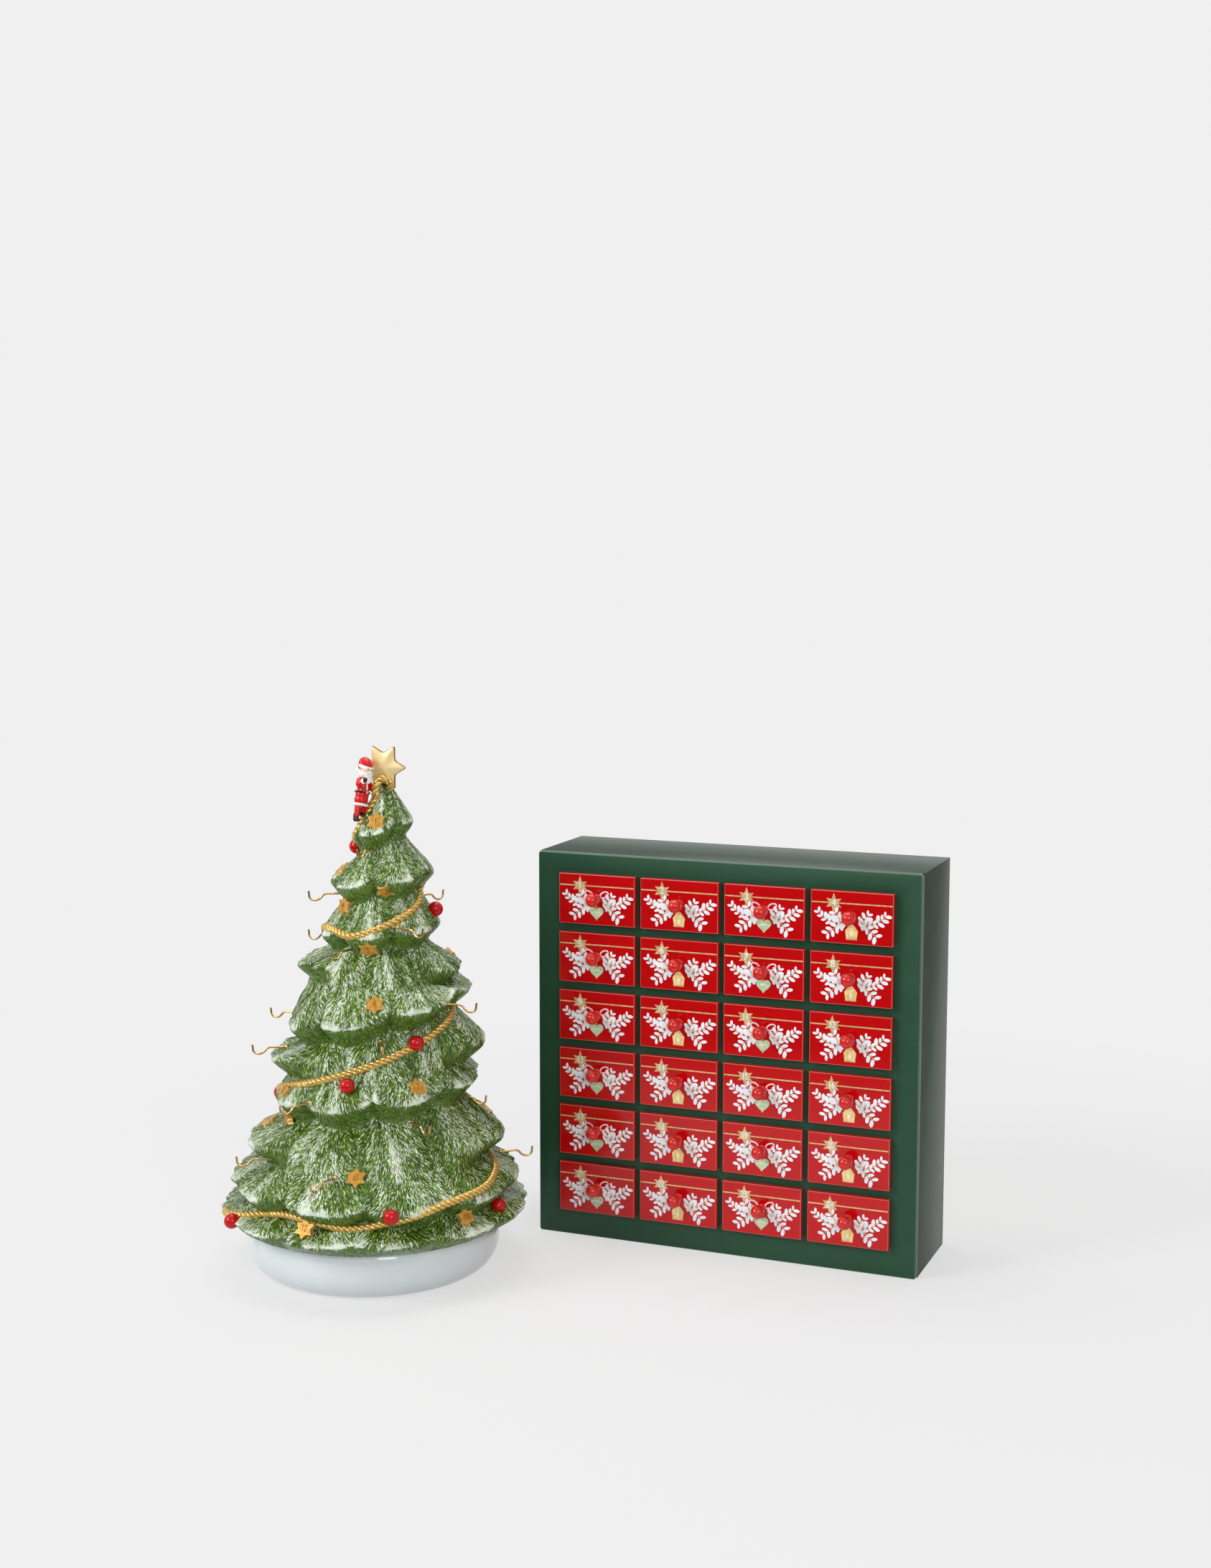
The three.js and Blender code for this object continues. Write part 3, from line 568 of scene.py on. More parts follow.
drawer_tray = tray_mesh()
drawer_front = mesh_of("front", *block((-front_wide / 2, -front_thick, -front_high / 2),
                                       (front_wide / 2, 0, front_high / 2)))
for name in drawer_places:
    body = name + "_body"
    front = piece(name + "_front", in_drawer(drawer_front, name), body, "red_lacquer", red_lacquer, edge_highlight_red)
    # The eased edges take the lighter red, a painted highlight
    ease_edges(front, 0.7 * mm, 1)
    piece(name + "_knob", in_drawer(knob_mesh, name), body, "red_lacquer", knob_lacquer)
    tray = piece(name + "_tray", in_drawer(drawer_tray, name), body, "bare_board", bare_board)
    ease_edges(tray, 0.25 * mm)
    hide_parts(name)


# Print on the drawer fronts: a fired-on transfer that stands a hair above the lacquer. A gold line
# crosses under the top, with a gold star and the drawer's number; white laurel twigs with gold stems
# run out beside the knob, over a small pale heart or lantern.

print_proud = 0.06  # mm above the lacquer, for each layer of the print
print_root, stem_proud = 0.1, 0.02  # mm that shapes go into the front, and that stems run above it


def printed(outline, layer=1):
    """A flat printed shape on a front, from its outline in millimetres across and up."""
    form = bmesh.new()
    back, face = -front_thick + print_root * mm, -front_thick - layer * print_proud * mm
    rings = [[form.verts.new((x * mm, y, z * mm)) for x, z in outline] for y in (back, face)]
    form.faces.new(rings[0])
    form.faces.new(rings[1])
    for i in range(len(outline)):
        form.faces.new([rings[0][i - 1], rings[0][i], rings[1][i], rings[1][i - 1]])
    bmesh.ops.recalc_face_normals(form, faces=form.faces)
    return mesh_from(form, "printed")


def joined(parts):
    """One mesh of several, each given with the place of its finish among the piece's materials."""
    form = bmesh.new()
    for mesh, place in parts:
        start = len(form.faces)
        form.from_mesh(mesh)
        form.faces.ensure_lookup_table()
        for face in form.faces[start:]:
            face.material_index = place
    return mesh_from(form, "joined")


def lettering(text, high, narrow=1.0):
    """A number as a thin flat mesh, centred, upright in X and Z and facing -Y, high in millimetres."""
    digit_share = 0.72  # of a line of type that a digit fills
    type_line = bpy.data.curves.new("number", "FONT")
    type_line.body, type_line.size = text, high * mm / digit_share
    type_line.align_x, type_line.align_y = "CENTER", "CENTER"
    type_line.extrude, type_line.resolution_u, type_line.offset = 0.05 * mm, 3, 0.015 * high * mm
    mesh = evaluated(put_in_scene("number", type_line))
    mesh.transform(Matrix.Rotation(math.pi / 2, 4, "X") @ Matrix.Diagonal((narrow, 1, 1, 1)))
    return mesh


def polyline(paths):
    """A mesh of lines through points in metres, for the Geometry Nodes trees that follow a path."""
    points, edges = [], []
    for path in paths:
        edges += [(len(points) + i, len(points) + i + 1) for i in range(len(path) - 1)]
        points += [tuple(p) for p in path]
    return mesh_of("path", points, edges=edges)


def at_random(tree, given, low, high, **inputs):
    """A number or vector between two, drawn from the tree's seed."""
    drawn = add(tree, "FunctionNodeRandomValue", {
        "Min": low, "Max": high, "Seed": out(given, "Seed"), **inputs},
        data_type="FLOAT" if isinstance(low, float) else "FLOAT_VECTOR")
    return out(drawn, "Value")


# Pairs of leaves along each stem, in the plane of a drawer front
tree, given = geometry_tree(
    "leaves_on_stems", ["Spacing", "Leaf Length", "Leaf Width", "Spread"], Seed="Int")
stem = add(tree, "GeometryNodeMeshToCurve", {"Mesh": out(given, "Geometry")})
nodes_on_stem = add(tree, "GeometryNodeResampleCurve", {
    "Curve": out(stem), "Length": out(given, "Spacing")}, mode="LENGTH")
along = out(add(tree, "GeometryNodeInputTangent"))
lies_along = add(tree, "FunctionNodeAlignRotationToVector", {"Vector": along}, axis="X", pivot_axis="Y")
lens = add(tree, "GeometryNodeMeshUVSphere", {"Segments": 6, "Rings": 4, "Radius": 0.5})
leaf_thick = 0.24 * mm
leaf_size = add(tree, "ShaderNodeCombineXYZ", {
    "X": out(given, "Leaf Length"), "Y": leaf_thick, "Z": out(given, "Leaf Width")})
half_leaf = reckon(tree, "MULTIPLY", out(given, "Leaf Length"), 0.55)
turned_lens = add(tree, "GeometryNodeTransform", {"Geometry": out(lens), "Rotation": (0, math.pi / 2, 0)})
leaf = add(tree, "GeometryNodeTransform", {
    "Geometry": out(turned_lens), "Scale": out(leaf_size),
    "Translation": out(add(tree, "ShaderNodeCombineXYZ", {"X": half_leaf}))})
sides = add(tree, "GeometryNodeJoinGeometry")
for side in (-1, 1):
    leaf_number = out(add(tree, "GeometryNodeInputIndex"))
    unlike = at_random(tree, given, 0.75, 1.25, ID=reckon(tree, "MULTIPLY_ADD", leaf_number, float(side)))
    lean = reckon(tree, "MULTIPLY", out(given, "Spread"), reckon(tree, "MULTIPLY", unlike, float(side)))
    leaned = add(tree, "FunctionNodeAxisAngleToRotation", {"Axis": (0, 1, 0), "Angle": lean})
    turned_out = add(tree, "FunctionNodeRotateRotation", {
        "Rotation": out(lies_along), "Rotate By": out(leaned)}, rotation_space="LOCAL")
    set_out = add(tree, "GeometryNodeInstanceOnPoints", {
        "Points": out(nodes_on_stem), "Instance": out(leaf), "Rotation": out(turned_out), "Scale": unlike})
    tree.links.new(out(set_out), sides.inputs[0])
leaves_on_stems = finished(tree, given, out(sides))

# A round wire along each path, with closed ends
tree, given = geometry_tree("drawn_wire", ["Step", "Radius"], Sides="Int")
bent = add(tree, "GeometryNodeResampleCurve", {
    "Curve": out(add(tree, "GeometryNodeMeshToCurve", {"Mesh": out(given, "Geometry")})),
    "Length": out(given, "Step")}, mode="LENGTH")
section = add(tree, "GeometryNodeCurvePrimitiveCircle", {
    "Resolution": out(given, "Sides"), "Radius": out(given, "Radius")})
drawn = add(tree, "GeometryNodeCurveToMesh", {
    "Curve": out(bent), "Profile Curve": out(section), "Fill Caps": True})
drawn_wire = finished(tree, given, out(drawn))

# Fine cloudiness and pinholes, as in a brushed or printed colour
tree, scales, place = effect("brushed_colour", Cloud_Scale=200.0, Fleck_Scale=1500.0)
brushed_colour = masked(tree, Clouds=mottle(tree, place, out(scales, "Cloud Scale"), 3.0),
                        Flecks=mottle(tree, place, out(scales, "Fleck Scale"), 2.0))


def printed_colour(name, first, second, roughness, **values):
    """A printed or brushed colour that wavers between two tones."""
    material, tree, shader = finish(name, **values)
    brushed = use(tree, brushed_colour, 260.0, 1800.0)
    share = out(add(tree, "ShaderNodeMapRange", {"Value": out(brushed, "Clouds"), "From Min": 0.35,
                                                 "From Max": 0.65}))
    tint(tree, shader, share, first, second)
    roughen(tree, shader, out(brushed, "Flecks"), 0.75 * roughness, 1.25 * roughness)
    return material


print_finishes = [
    printed_colour("print_gold", "cfad74", "e8cd9a", 0.34, metallic=0.25),
    printed_colour("print_white", "dfe6f2", "f6f8fb", 0.3),
    printed_colour("print_green", "a9c096", "c6d6b0", 0.3),
    printed_colour("print_yellow", "e2c27c", "f1dca0", 0.3),
    printed_colour("print_rose", "e9c6c9", "f7e6e6", 0.3),
]
gold_print, white_print, green_print, yellow_print, rose_print = range(len(print_finishes))


def strip(left, low, right, high):
    return [(left, low), (right, low), (right, high), (left, high)]


line_low, line_high, line_inset = 11.7, 12.8, 0.8  # mm above the middle, and in from the front's sides
line_end = front_wide / mm / 2 - line_inset
gold_line = printed(strip(-line_end, line_low, line_end, line_high))
star_across, star_up = -15.8, 12.2  # mm from the middle
tall_point, side_point, star_dent = 8.6, 7.6, 3.7
star_points = []
for i in range(12):
    turn = math.radians(90 + 30 * i)
    reach = star_dent if i % 2 else (tall_point if i % 6 == 0 else side_point)
    star_points.append((star_across + reach * math.cos(turn), star_up + reach * math.sin(turn)))
gold_star = printed(star_points, 2)


def on_front(x, z):
    """A point in metres just off a front, from millimetres across and up."""
    return x * mm, -front_thick - stem_proud * mm, z * mm


def bend(start, middle, end, count=12):
    """Points of a stem on a front, through a bend, given in millimetres across and up."""
    points = []
    for s in np.linspace(0, 1, count):
        x, z = ((1 - s) ** 2 * start[k] + 2 * s * (1 - s) * middle[k] + s * s * end[k] for k in (0, 1))
        points.append(on_front(x, z))
    return points


stems = []
for side in (-1, 1):
    stems.append(bend((6 * side, -2.5), (20 * side, -8.5), (28.6 * side, 3.2)))
    stems.append(bend((9 * side, -4.5), (15 * side, -9), (20.5 * side, -14)))
    stems.append(bend((10 * side, -4), (11 * side, 0), (14 * side, 3.2), 6))
white_leaves = grow(polyline(stems), leaves_on_stems, Spacing=4.0 * mm, Leaf_Length=5.6 * mm,
                    Leaf_Width=2.9 * mm, Spread=math.radians(48), Seed=3, Finish=print_finishes[white_print])
gold_stems = grow(polyline(stems), drawn_wire, Step=2.0 * mm, Radius=0.32 * mm, Sides=5,
                  Finish=print_finishes[gold_print])


def oval(x, z, wide, high, count=14, turn=0.0):
    """Points of an oval in millimetres, turned by an angle."""
    ring = []
    for a in np.linspace(0, 2 * math.pi, count, endpoint=False):
        u, v = wide / 2 * math.cos(a), high / 2 * math.sin(a)
        ring.append((x + u * math.cos(turn) - v * math.sin(turn),
                     z + u * math.sin(turn) + v * math.cos(turn)))
    return ring


def bow():
    """Two loops of ribbon behind the knob."""
    loops = []
    for side in (-1, 1):
        ring = oval(7.2 * side, 5.0, 8.4, 4.8, 20, side * math.radians(28))
        loops.append([on_front(x, z) for x, z in ring + ring[:2]])
    ribbon = grow(polyline(loops), drawn_wire, Step=1.0 * mm, Radius=0.75 * mm, Sides=6,
                  Finish=print_finishes[rose_print])
    middle = Matrix.Translation((0, -front_thick, 0))
    ribbon.transform(middle @ Matrix.Diagonal((1, 0.15, 1, 1)) @ middle.inverted())
    return ribbon


def heart():
    """A pale green heart on a thread, with a row of white dots."""
    outline = []
    for t in np.linspace(0, 2 * math.pi, 28, endpoint=False):
        outline.append((0.42 * 16 * math.sin(t) ** 3, -11.4 + 0.42 * (
            13 * math.cos(t) - 5 * math.cos(2 * t) - 2 * math.cos(3 * t) - math.cos(4 * t))))
    dots = [(printed(oval(x, -10.6 - 0.05 * x * x, 1.1, 1.1, 8), 2), white_print)
            for x in np.linspace(-4.2, 4.2, 6)]
    thread = printed(strip(-0.3, -8.6, 0.3, -3))
    return [(printed(outline), green_print), (thread, gold_print), *dots]


def lantern():
    """A pale yellow lantern with a gold roof and bars."""
    body = [(-4.6, -17.4), (4.6, -17.4), (5.6, -11), (3.6, -8.2), (-3.6, -8.2), (-5.6, -11)]
    roof = [(-3.9, -8.4), (3.9, -8.4), (1.4, -5.6), (-1.4, -5.6)]
    foot = strip(-4.9, -18.6, 4.9, -17.4)
    bars = [(printed([(x - 0.25, -17.4), (x + 0.25, -17.4), (1.15 * x + 0.25, -8.4),
                      (1.15 * x - 0.25, -8.4)], 2), gold_print) for x in (-2.2, 2.2)]
    flame = (printed(oval(0, -13.6, 1.8, 3.6, 10), 2), white_print)
    return [(printed(body), yellow_print), (printed(roof, 2), gold_print), (printed(foot, 2), gold_print),
            flame, *bars]


pictures = [[(bow(), rose_print), *heart()], lantern()]
digits_high, digits_narrow, digits_layer = 6.2, 0.72, 3
for number, name in enumerate(drawer_places, 1):
    digits = lettering(str(number), digits_high, 1.0 if number < 10 else digits_narrow)
    digits.transform(Matrix.Translation((
        star_across * mm, -front_thick - digits_layer * print_proud * mm, star_up * mm)))
    layers = [(gold_line, gold_print), (gold_star, gold_print), (digits, white_print),
              (white_leaves, white_print), (gold_stems, gold_print), *pictures[(number - 1) % 2]]
    piece(name + "_print", in_drawer(joined(layers), name), name + "_body", "red_lacquer", *print_finishes)


# Porcelain base: a round white pot, slip-cast, glazed but for the foot ring that it was fired on. The
# tree drops over its low register ring.

tree_place = Matrix.Translation((-277 * mm, -177 * mm, 0)) @ Matrix.Rotation(math.radians(27.5), 4, "Z")
# Radius and height in mm, from the foot ring up the side and over the register ring to the inside
base_profile = [(0, 3), (78, 3), (80.6, 2.4), (82.2, 0.6), (83, 0), (90, 0), (91.4, 0.3)]
for step in range(1, 13):
    turn = math.radians(90 * step / 12)
    base_profile.append((91 + 18.2 * math.sin(turn), 24 * (1 - math.cos(turn))))
base_profile += [(109.1, 30), (108.6, 35.5), (107.6, 39.2), (106, 41.6), (103.6, 42.8), (101, 43),
                 (88.6, 43), (88, 43.4), (87.6, 46.2), (86.6, 47), (83, 47), (82, 46.2), (82, 37.4),
                 (96.5, 37), (102, 32), (102, 26), (88, 9), (0, 9)]
base_mesh = turned(base_profile, 144)
base_mesh.transform(tree_place)

# Pools where a glaze ran thick, and the pinholes and slow waves of a fired surface
tree, scales, place = effect("fired_glaze", Pool_Scale=30.0)
pinholes = add(tree, "ShaderNodeTexVoronoi", {"Vector": place, "Scale": 420.0})
pinhole_edge = add(tree, "ShaderNodeMapRange", {
    "Value": out(pinholes, "Distance"), "From Min": 0.02, "From Max": 0.09})
fired_glaze = masked(tree, Pools=mottle(tree, place, out(scales, "Pool Scale"), 3.0),
                     Waves=mottle(tree, place, 90.0, 1.0), Pinholes=out(pinhole_edge))

white_glaze = layered(
    "white_glaze", fired_glaze, (14.0,), ("ccd7dc", "e6ecee"), ("Pinholes", 0.4, 0.13), 0.12,
    shine=0.5, coat_weight=0.4, coat_roughness=0.04)
bare_porcelain = layered(
    "bare_porcelain", brushed_colour, (120.0, 2600.0), ("cbc4b4", "e2ddd2"), relief=0.08, roughness=0.75)

foot_ring_top = 0.35 * mm
for face in base_mesh.polygons:
    if all(base_mesh.vertices[i].co.z < foot_ring_top for i in face.vertices):
        face.material_index = 1
base = piece("base_pot", base_mesh, "tree", "white_glaze", white_glaze, bare_porcelain)
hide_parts("porcelain_base")


# Porcelain tree: slip-cast in one with its relief, a cone of ten rows of boughs. Each bough droops and
# swells between two notches, its lip rolls under to a smooth band, and three rows fade out in front.

tip_height, tip_radius, skirt_radius, tree_lean = 421.0, 4.5, 117.0, 13.0
joint_height = 43.3
bough_bulge = 0.03
row_names = ("z", "radius", "boughs", "turn", "hang", "flare", "rise", "band", "cut", "fade")
row_units = np.array([tip_height / 100, skirt_radius / 100, 1, math.pi / 180, tip_height / 100,
                      skirt_radius / 100, tip_height / 100, tip_height / 100, skirt_radius / 100, 1])
# Heights in per cent of the tree's, radii in per cent of the skirt's, and turns in degrees
rows = [dict(zip(row_names, np.array(row) * row_units)) for row in (
    (13.3, 110.3, 12, 8, 1, 3.4, 0, 0, 0, 0),
    (19.5, 103.4, 10, 14, 2.1, 5.1, -0.2, 3.1, 12, 0),
    (27.6, 92.3, 9, 10, 1.7, 5.1, -0.2, 3.3, 15.4, 0.95),
    (38.7, 71.8, 8, 20, 2.1, 6, 2.1, 3.8, 14.5, 0),
    (45.8, 76.9, 8, 0, 1.4, 3.4, 1.2, 3.6, 14.5, 1),
    (55.3, 64.1, 7, -18, 2.1, 6, 3.6, 3.6, 14.5, 0),
    (63.2, 58.1, 7, 10, 1.4, 3.4, -0.5, 2.6, 10.3, 1),
    (71, 41, 6, -16, 1.9, 4.3, 0.7, 3.1, 10.3, 0),
    (81.5, 35.9, 5, 26, 1.9, 3.4, 1.2, 3.3, 10.3, 0),
    (91.4, 19.7, 4, -20, 1.7, 2.6, 1.7, 2.9, 6, 0),
)]


def smoothstep(low, high, value):
    share = np.clip((value - low) / (high - low), 0, 1)
    return share * share * (3 - 2 * share)


def swell_at(row, angle):
    """1 along the middle of a bough and 0 in the notch between two."""
    return np.sqrt(np.abs(np.cos(row["boughs"] * (angle - row["turn"]) / 2)))


def shown_at(row, angle):
    return 1 - row["fade"] * smoothstep(0.25, 0.8, np.cos(angle))


def slope_of(index):
    """The plain cone that a faded row's front follows, from the full row below to the one above."""
    low, high = index, index
    while rows[low]["fade"] > 0:
        low -= 1
    while rows[high]["fade"] > 0:
        high += 1
    low, high = rows[low], rows[high]
    rise = max(high["z"] - high["band"] - low["z"], 1)
    fall = high["radius"] - high["cut"] - low["radius"]
    return lambda z: low["radius"] + fall * (z - low["z"]) / rise


def lip_and_neck(index, angle):
    """Radius and height of a row's lip and of the narrow neck under it."""
    row, slope = rows[index], slope_of(index)
    shown, swell = shown_at(row, angle), swell_at(row, angle)
    z = row["z"] + row["rise"] * np.sin(angle) - row["hang"] * shown * (swell - 0.5)
    lip = lerp(slope(z), row["radius"] + row["flare"] * (swell - 0.5), shown)
    neck_z = z - row["band"] - 1
    return (lip, z), (lerp(slope(neck_z), lip - row["cut"], shown), neck_z)


def outline_at(angle):
    """The tree's outline from the skirt up, as radius and height, at an array of angles."""
    ends = [lip_and_neck(index, angle) for index in range(len(rows))]
    level = np.ones_like(angle)
    stops = [(skirt_radius * level, joint_height * level)]
    for index, (lip, neck) in enumerate(ends):
        if index > 0:
            stops.append(neck)
        above = ends[index + 1][1] if index + 1 < len(ends) else (tip_radius * level, tip_height * level)
        bulge = bough_bulge * rows[index]["radius"] * swell_at(rows[index], angle)
        stops += [lip, (lerp(lip[0], above[0], 0.3) + bulge, lerp(lip[1], above[1], 0.3))]
    stops.append((tip_radius * level, tip_height * level))
    return np.array(stops)


def radius_at(angle, z):
    outline = outline_at(np.array([float(angle)]))[:, :, 0]
    for (r0, z0), (r1, z1) in zip(outline, outline[1:]):
        if z <= z1:
            return r0 + (r1 - r0) * (z - z0) / (z1 - z0)
    return tip_radius


def faces_between(low, high, count):
    """Faces between two rings of so many points, from the numbers of their first points."""
    return [(low + j, low + (j + 1) % count, high + (j + 1) % count, high + j) for j in range(count)]


def on_tree(angle, z, radius):
    """A point of the tree's own frame in millimetres, whose front faces -Y."""
    return Vector((tree_lean * z / tip_height + radius * math.sin(angle), -radius * math.cos(angle), z))


around = 320
angles = np.linspace(0, 2 * math.pi, around, endpoint=False)
outline = outline_at(angles)
shown = np.array([shown_at(row, angles) for row in rows])
swell = np.array([swell_at(row, angles) for row in rows])

# Rings from the skirt up: each is a share of the way between two stops of the outline
lip_swell, under_roll = 1.6, 2.0  # mm that a lip and the band under it round out
rings_under, rings_to_belly, rings_above = 9, 7, 10
no_lip_near = np.full(around, 99.0)  # mm
rings, lip_gap, under_bough, ring_row = [], [], [], []
for index in range(len(rows)):
    first = 3 * index
    neck, lip, belly = outline[first], outline[first + 1], outline[first + 2]
    above = outline[first + 3]
    lip = np.array([lip[0] + lip_swell * shown[index], lip[1]])
    for share in np.linspace(0, 1, rings_under, endpoint=False):
        ring = lerp(neck, lip, share)
        ring[0] += under_roll * math.sin(math.pi * share) * shown[index]
        rings.append(ring)
        under_bough.append(shown[index] * min(1, 4 * (1 - share)))
        lip_gap.append(no_lip_near)
        ring_row.append(index)
    steps = [lerp(lip, belly, s) for s in np.linspace(0, 1, rings_to_belly, endpoint=False)]
    steps += [lerp(belly, above, s) for s in np.linspace(0, 1, rings_above, endpoint=False)]
    for ring in steps:
        rings.append(ring)
        under_bough.append(np.zeros(around))
        lip_gap.append(np.hypot(*(ring - lip)) + 40 * (1 - shown[index]))
        ring_row.append(index)
rings.append(outline[-1])
under_bough.append(np.zeros(around))
lip_gap.append(no_lip_near)
ring_row.append(len(rows) - 1)
rings, lip_gap, under_bough = np.array(rings), np.array(lip_gap), np.array(under_bough)
ring_row = np.array(ring_row)
rounding_passes = 5
for _ in range(rounding_passes):
    rings[1:-1] = (rings[:-2] + 2 * rings[1:-1] + rings[2:]) / 4

# Each bough carries flat sprays that part the surface into soft ribs
radius, height = rings[:, 0], rings[:, 1]
bough_count = np.array([row["boughs"] for row in rows])[ring_row][:, None]
bough_turn = np.array([row["turn"] for row in rows])[ring_row][:, None]
across = ((angles - bough_turn) * bough_count / (2 * math.pi) + 0.5) % 1 - 0.5  # -0.5 to 0.5 over a bough
rib_lean = 0.055  # how fast the ribs part from a bough's middle on their way down
ribs = np.sin(2 * math.pi * (5.5 * np.abs(across) + rib_lean * height)
              + 3 * np.sin(angles * 5 + height / 31))
tremble = np.sin(angles * 23 + height / 7) * np.sin(angles * 41 - height / 11)
pleat_place = 2.6 * across + 0.35 * np.sin(angles * 5 + height / 23) + 0.2 * np.sin(angles * 11)
pleats = 2 * np.abs(pleat_place % 1 - 0.5) - 0.5
pleat_deep, rib_deep, tremble_deep = 2.6, 0.5, 0.3  # mm
skin = (pleat_deep * pleats + rib_deep * ribs + tremble_deep * tremble) * np.clip(radius / 70, 0.2, 1)
skin *= 1 - 0.75 * under_bough
radius = radius + skin

lean = tree_lean * height / tip_height
body_points = np.stack([lean + radius * np.sin(angles), -radius * np.cos(angles), height], axis=-1)
down = np.zeros_like(body_points)
down[1:] = body_points[:-1] - body_points[1:]
down[0] = down[1]
down /= np.linalg.norm(down, axis=-1, keepdims=True)
sideways = np.stack([np.cos(angles), np.sin(angles), np.zeros(around)], axis=-1)[None]
fan_turn = math.radians(95)  # between the strokes along a bough's middle and those at its sides
fan = (fan_turn * across)[..., None]
needle_flow = np.cos(fan) * down + np.sin(fan) * sideways
cloud = 0.5 + 0.25 * np.sin(angles * 7 + height / 19) + 0.25 * np.sin(angles * 13 - height / 13 + 2)
ridge = (1 - 2 * np.abs(across)) ** 1.5
lip_snow = np.exp(-(lip_gap / 4) ** 2) * (0.1 + 0.55 * ridge + 0.4 * cloud)
snow_lie = np.clip(lip_snow + 0.26 * ridge + 0.62 * cloud + 0.5 * pleats - 0.25, 0, 1)
snow_lie *= 1 - under_bough
band_cover = 0.5  # of the smooth bands under the lips, where the strokes are fewer and stay green
needle_cover = np.clip(lip_gap / 4, 0.35, 1) * (1 - (1 - band_cover) * under_bough)
bare_tip = 4  # mm
needle_cover *= height < tip_height - bare_tip

ring_count = len(rings)
points = body_points.reshape(-1, 3)
faces = []
for i in range(ring_count - 1):
    faces += faces_between(i * around, (i + 1) * around, around)
# The hollow inside, by radius and height in mm
inner_stops, inner_top = [
    (90, joint_height), (84, 60), (72, 110), (56, 160), (38, 220), (20, 280), (6, 320)], 322
inner_start = len(points)
inner_rings = [np.stack([tree_lean * z / tip_height + r * np.sin(angles), -r * np.cos(angles),
                         np.full(around, z)], axis=-1) for r, z in inner_stops]
points = np.concatenate([points, *inner_rings, [on_tree(0, tip_height, 0), on_tree(0, inner_top, 0)]])
for i in range(len(inner_stops) - 1):
    faces += faces_between(inner_start + (i + 1) * around, inner_start + i * around, around)
top, last = (ring_count - 1) * around, inner_start + (len(inner_stops) - 1) * around
for j in range(around):
    k = (j + 1) % around
    faces += [(k, j, inner_start + j, inner_start + k), (top + j, top + k, len(points) - 2),
              (last + k, last + j, len(points) - 1)]
body_mesh = mesh_of("boughs", points, faces)
spare = len(points) - ring_count * around
for label, values in (("snow_lie", snow_lie), ("under_bough", under_bough), ("needle_cover", needle_cover)):
    store(body_mesh, label, np.concatenate([values.ravel(), np.zeros(spare)]))
flow = np.concatenate([needle_flow.reshape(-1, 3), np.tile((0, 0, -1), (spare, 1))])
store(body_mesh, "needle_flow", flow @ np.array(tree_place.to_3x3()).T)
on_ground = tree_place @ Matrix.Scale(mm, 4)
body_mesh.transform(on_ground)


def attribute(tree, name):
    return out(add(tree, "ShaderNodeAttribute", attribute_name=name, attribute_type="GEOMETRY"), "Fac")


def ramp(tree, value, low, high):
    return out(add(tree, "ShaderNodeMapRange", {"Value": value, "From Min": low, "From Max": high},
                   interpolation_type="SMOOTHSTEP"))


green_glaze, tree, shader = finish("green_glaze", shine=0.3, coat_weight=0.15, coat_roughness=0.05)
pools = out(use(tree, fired_glaze, 45.0), "Pools")
brushed = use(tree, brushed_colour, 160.0, 1100.0)
leaf_green = blend_colours(tree, pools, "132804", "46681a")
band_green = blend_colours(tree, pools, "304f17", "648334")
greens = blend_colours(tree, attribute(tree, "under_bough"), leaf_green, band_green)
dry_brush = reckon(tree, "ADD", attribute(tree, "snow_lie"),
                   reckon(tree, "ADD", out(brushed, "Flecks"), out(brushed, "Clouds")))
white_share = ramp(tree, dry_brush, 1.42, 1.95)
tint(tree, shader, white_share, greens, "e0e9da")
roughen(tree, shader, white_share, 0.15, 0.42)
emboss(tree, shader, out(brushed, "Flecks"), 0.22 * mm)
tree_body = piece("bough_casting", body_mesh, "tree", "green_glaze", green_glaze)
tree_body.data.attributes.remove(tree_body.data.attributes["sharp_edge"])
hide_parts("porcelain_tree")


# Needles: thousands of fine strokes that the modeller tooled into the boughs, fanning out and down from
# each bough's middle, glazed over in green and dry-brushed in white on their crests.

tree, given = geometry_tree("needle_strokes", [
    "Density", "From Height", "To Height", "Length", "Width", "Proud", "Waver"], Seed="Int")
level = out(add(tree, "ShaderNodeSeparateXYZ", {0: out(add(tree, "GeometryNodeInputPosition"))}), "Z")
above = reckon(tree, "GREATER_THAN", level, out(given, "From Height"))
below = reckon(tree, "LESS_THAN", level, out(given, "To Height"))
covered = reckon(tree, "MULTIPLY", reckon(tree, "MULTIPLY", above, below),
                 stored(tree, "needle_cover", "FLOAT"))
cover = reckon(tree, "MULTIPLY", out(given, "Density"), covered)
strewn = add(tree, "GeometryNodeDistributePointsOnFaces", {
    "Mesh": out(given, "Geometry"), "Density": cover, "Seed": out(given, "Seed")},
    distribute_method="RANDOM")
astray = at_random(tree, given, (-1.0, -1.0, -1.0), (1.0, 1.0, 1.0))
waver = add(tree, "ShaderNodeVectorMath", {0: astray, "Scale": out(given, "Waver")}, operation="SCALE")
heading = add(tree, "ShaderNodeVectorMath", {0: stored(tree, "needle_flow"), 1: out(waver)}, operation="ADD")
faced = add(tree, "FunctionNodeAlignRotationToVector", {"Vector": out(strewn, "Normal")}, axis="Z")
laid = add(tree, "FunctionNodeAlignRotationToVector", {
    "Rotation": out(faced), "Vector": out(heading, "Vector")}, axis="X", pivot_axis="Z")
drop = add(tree, "GeometryNodeMeshUVSphere", {"Segments": 3, "Rings": 2, "Radius": 0.5})
laid_drop = add(tree, "GeometryNodeTransform", {"Geometry": out(drop), "Rotation": (0, math.pi / 2, 0)})
